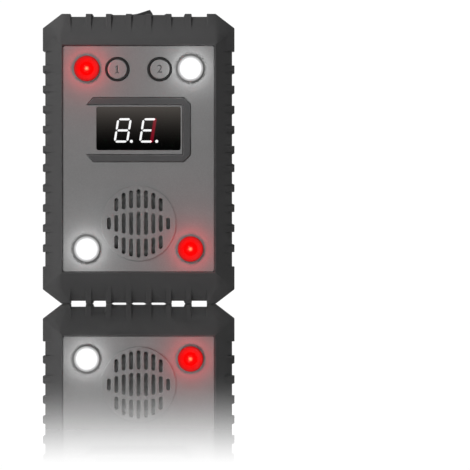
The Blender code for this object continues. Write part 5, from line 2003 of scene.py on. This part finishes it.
@dataclass
class Studio:
    """The pale floor, the soft lights and the camera."""

    view_width: float = 0.191
    lens: float = 900.0
    camera_x: float = 39.2 * MM
    camera_z: float = 28.0 * MM
    floor_half: float = 12.0
    mirrored_clear: float = 26.0 * MM
    mirrored_end: float = 65.0 * MM
    fade_power: float = 2.5
    distance: float = 0.0
    glow_reach: float = 3.4 * MM
    red_glow: tuple[Colour, float] = ((1.0, 0.02, 0.03), 0.0105)
    white_glow: tuple[Colour, float] = ((1.0, 1.0, 1.0), 0.0085)

    def build(self) -> None:
        """Make the stage round the object."""
        self.make_camera()
        self.make_floor()
        self.make_world()
        self.add_area("key_light", (-0.55, -0.75, 0.95), 0.45, 11.0)
        self.add_area("side_fill", (-0.9, -0.3, 0.15), 0.5, 1.5)
        for lamp in LAMPS:
            colour, power = self.red_glow if lamp in RED_LAMPS else self.white_glow
            self.add_glow(f"glow_{lamp}", middle(f"led_{lamp}"), colour, power)

    def make_camera(self) -> None:
        """A long lens, level, square to the front."""
        front = CAD_BOX[0][1]
        data = bpy.data.cameras.new("camera")
        data.lens = self.lens
        self.distance = self.view_width * self.lens / data.sensor_width
        data.clip_start, data.clip_end = 0.5, 100.0
        camera = bpy.data.objects.new("camera", data)
        bpy.context.scene.collection.objects.link(camera)
        camera.location = (self.camera_x, front - self.distance, self.camera_z)
        camera.rotation_euler = (math.radians(90), 0, 0)
        bpy.context.scene.camera = camera

    def make_floor(self) -> None:
        """A pale polished floor, whose polish gives way to plain white towards the viewer."""
        data = bmesh.new()
        bmesh.ops.create_grid(data, x_segments=2, y_segments=2, size=self.floor_half)
        bmesh.ops.translate(data, verts=data.verts, vec=(0, 0, -0.05 * MM))
        floor = mesh_piece("floor", data)
        material = bpy.data.materials.new("pale_floor")
        material.use_nodes = True
        graph = Graph(material.node_tree)
        shader = material.node_tree.nodes["Principled BSDF"]
        place = graph.add("ShaderNodeTexCoord").outputs["Object"]
        depth = graph.add("ShaderNodeSeparateXYZ", {"Vector": place}).outputs["Y"]
        ahead = graph.maths("SUBTRACT", CAD_BOX[0][1], depth)
        away = graph.maths("MAXIMUM", graph.maths("SUBTRACT", self.distance, ahead), 0.01)
        mirrored = graph.maths("DIVIDE", graph.maths("MULTIPLY", ahead, self.camera_z), away)
        matt = graph.maths("POWER", graph.ranged(mirrored, self.mirrored_clear, self.mirrored_end),
                           self.fade_power)
        polish = graph.maths("SUBTRACT", 1.0, matt)
        tone = graph.ranged(graph.noise(3.0), 0.3, 0.7, 0.98, 1.0)
        shown = graph.add("ShaderNodeCombineColor", {"Red": tone, "Green": tone, "Blue": tone}).outputs[0]
        black, white = (0.0, 0.0, 0.0, 1.0), (1.02, 1.02, 1.02, 1.0)
        graph.feed(shader, "Base Color", graph.mixed(matt, shown, black))
        graph.feed(shader, "Metallic", polish)
        shader.inputs["Specular IOR Level"].default_value = 0.0
        shader.inputs["Roughness"].default_value = 0.0
        graph.feed(shader, "Emission Color", graph.mixed(matt, black, white))
        shader.inputs["Emission Strength"].default_value = 1.0
        floor.data.materials.append(material)

    def make_world(self) -> None:
        """White behind the object and dim in front of it, so that the lights shape its front."""
        world = bpy.data.worlds.new("studio")
        world.use_nodes = True
        bpy.context.scene.world = world
        graph = Graph(world.node_tree)
        back = world.node_tree.nodes["Background"]
        place = graph.add("ShaderNodeTexCoord").outputs["Generated"]
        parts = graph.add("ShaderNodeSeparateXYZ", {"Vector": place})
        behind = graph.ranged(parts.outputs["Y"], -0.25, 0.35)
        path = graph.add("ShaderNodeLightPath").outputs
        seen = graph.maths("MAXIMUM", path["Is Camera Ray"], path["Is Singular Ray"])
        white = graph.maths("MAXIMUM", behind, seen)
        graph.feed(back, "Color", graph.mixed(white, (0.22, 0.22, 0.22, 1.0), (1.02, 1.02, 1.02, 1.0)))
        bpy.context.scene.view_settings.view_transform = "Standard"

    def add_area(self, name: str, place: Sequence[float], size: float, power: float) -> None:
        """A square soft light aimed at the middle of the object.

        Args:
            name: the light's name.
            place: where it hangs.
            size: its side.
            power: its power in watts.
        """
        data = bpy.data.lights.new(name, "AREA")
        data.size, data.energy = size, power
        light = bpy.data.objects.new(name, data)
        bpy.context.scene.collection.objects.link(light)
        light.location = place
        aim = Vector((0, 0, CAD_BOX[1][2] / 2)) - Vector(place)
        light.rotation_euler = aim.to_track_quat("-Z", "Y").to_euler()

    def add_glow(self, name: str, lamp: Vector, colour: Colour, power: float) -> None:
        """A small light just in front of a lamp, which lights the panel round it.

        Args:
            name: the light's name.
            lamp: the middle of the lamp.
            colour: the light's colour.
            power: its power in watts.
        """
        data = bpy.data.lights.new(name, "POINT")
        data.color, data.energy, data.shadow_soft_size = colour, power, 1.5 * MM
        light = bpy.data.objects.new(name, data)
        bpy.context.scene.collection.objects.link(light)
        light.location = (lamp.x, CAD_BOX[0][1] - self.glow_reach, lamp.z)
        light.visible_camera = False
        light.visible_glossy = False


def main() -> None:
    """Build the stage, then every sub-assembly in order."""
    logging.basicConfig(level=logging.INFO, format="%(message)s")
    Studio().build()
    for assembly in (CaseShell(), FrontPanel(), DisplayUnit(), SignalLamps(), PushButtons(), Speaker(),
                     CircuitBoard(), RockerSwitch(), BatteryBay(), Fasteners(), Wiring()):
        LOG.info("-- %s", type(assembly).__name__)
        assembly.build()


if __name__ == "__main__":
    main()
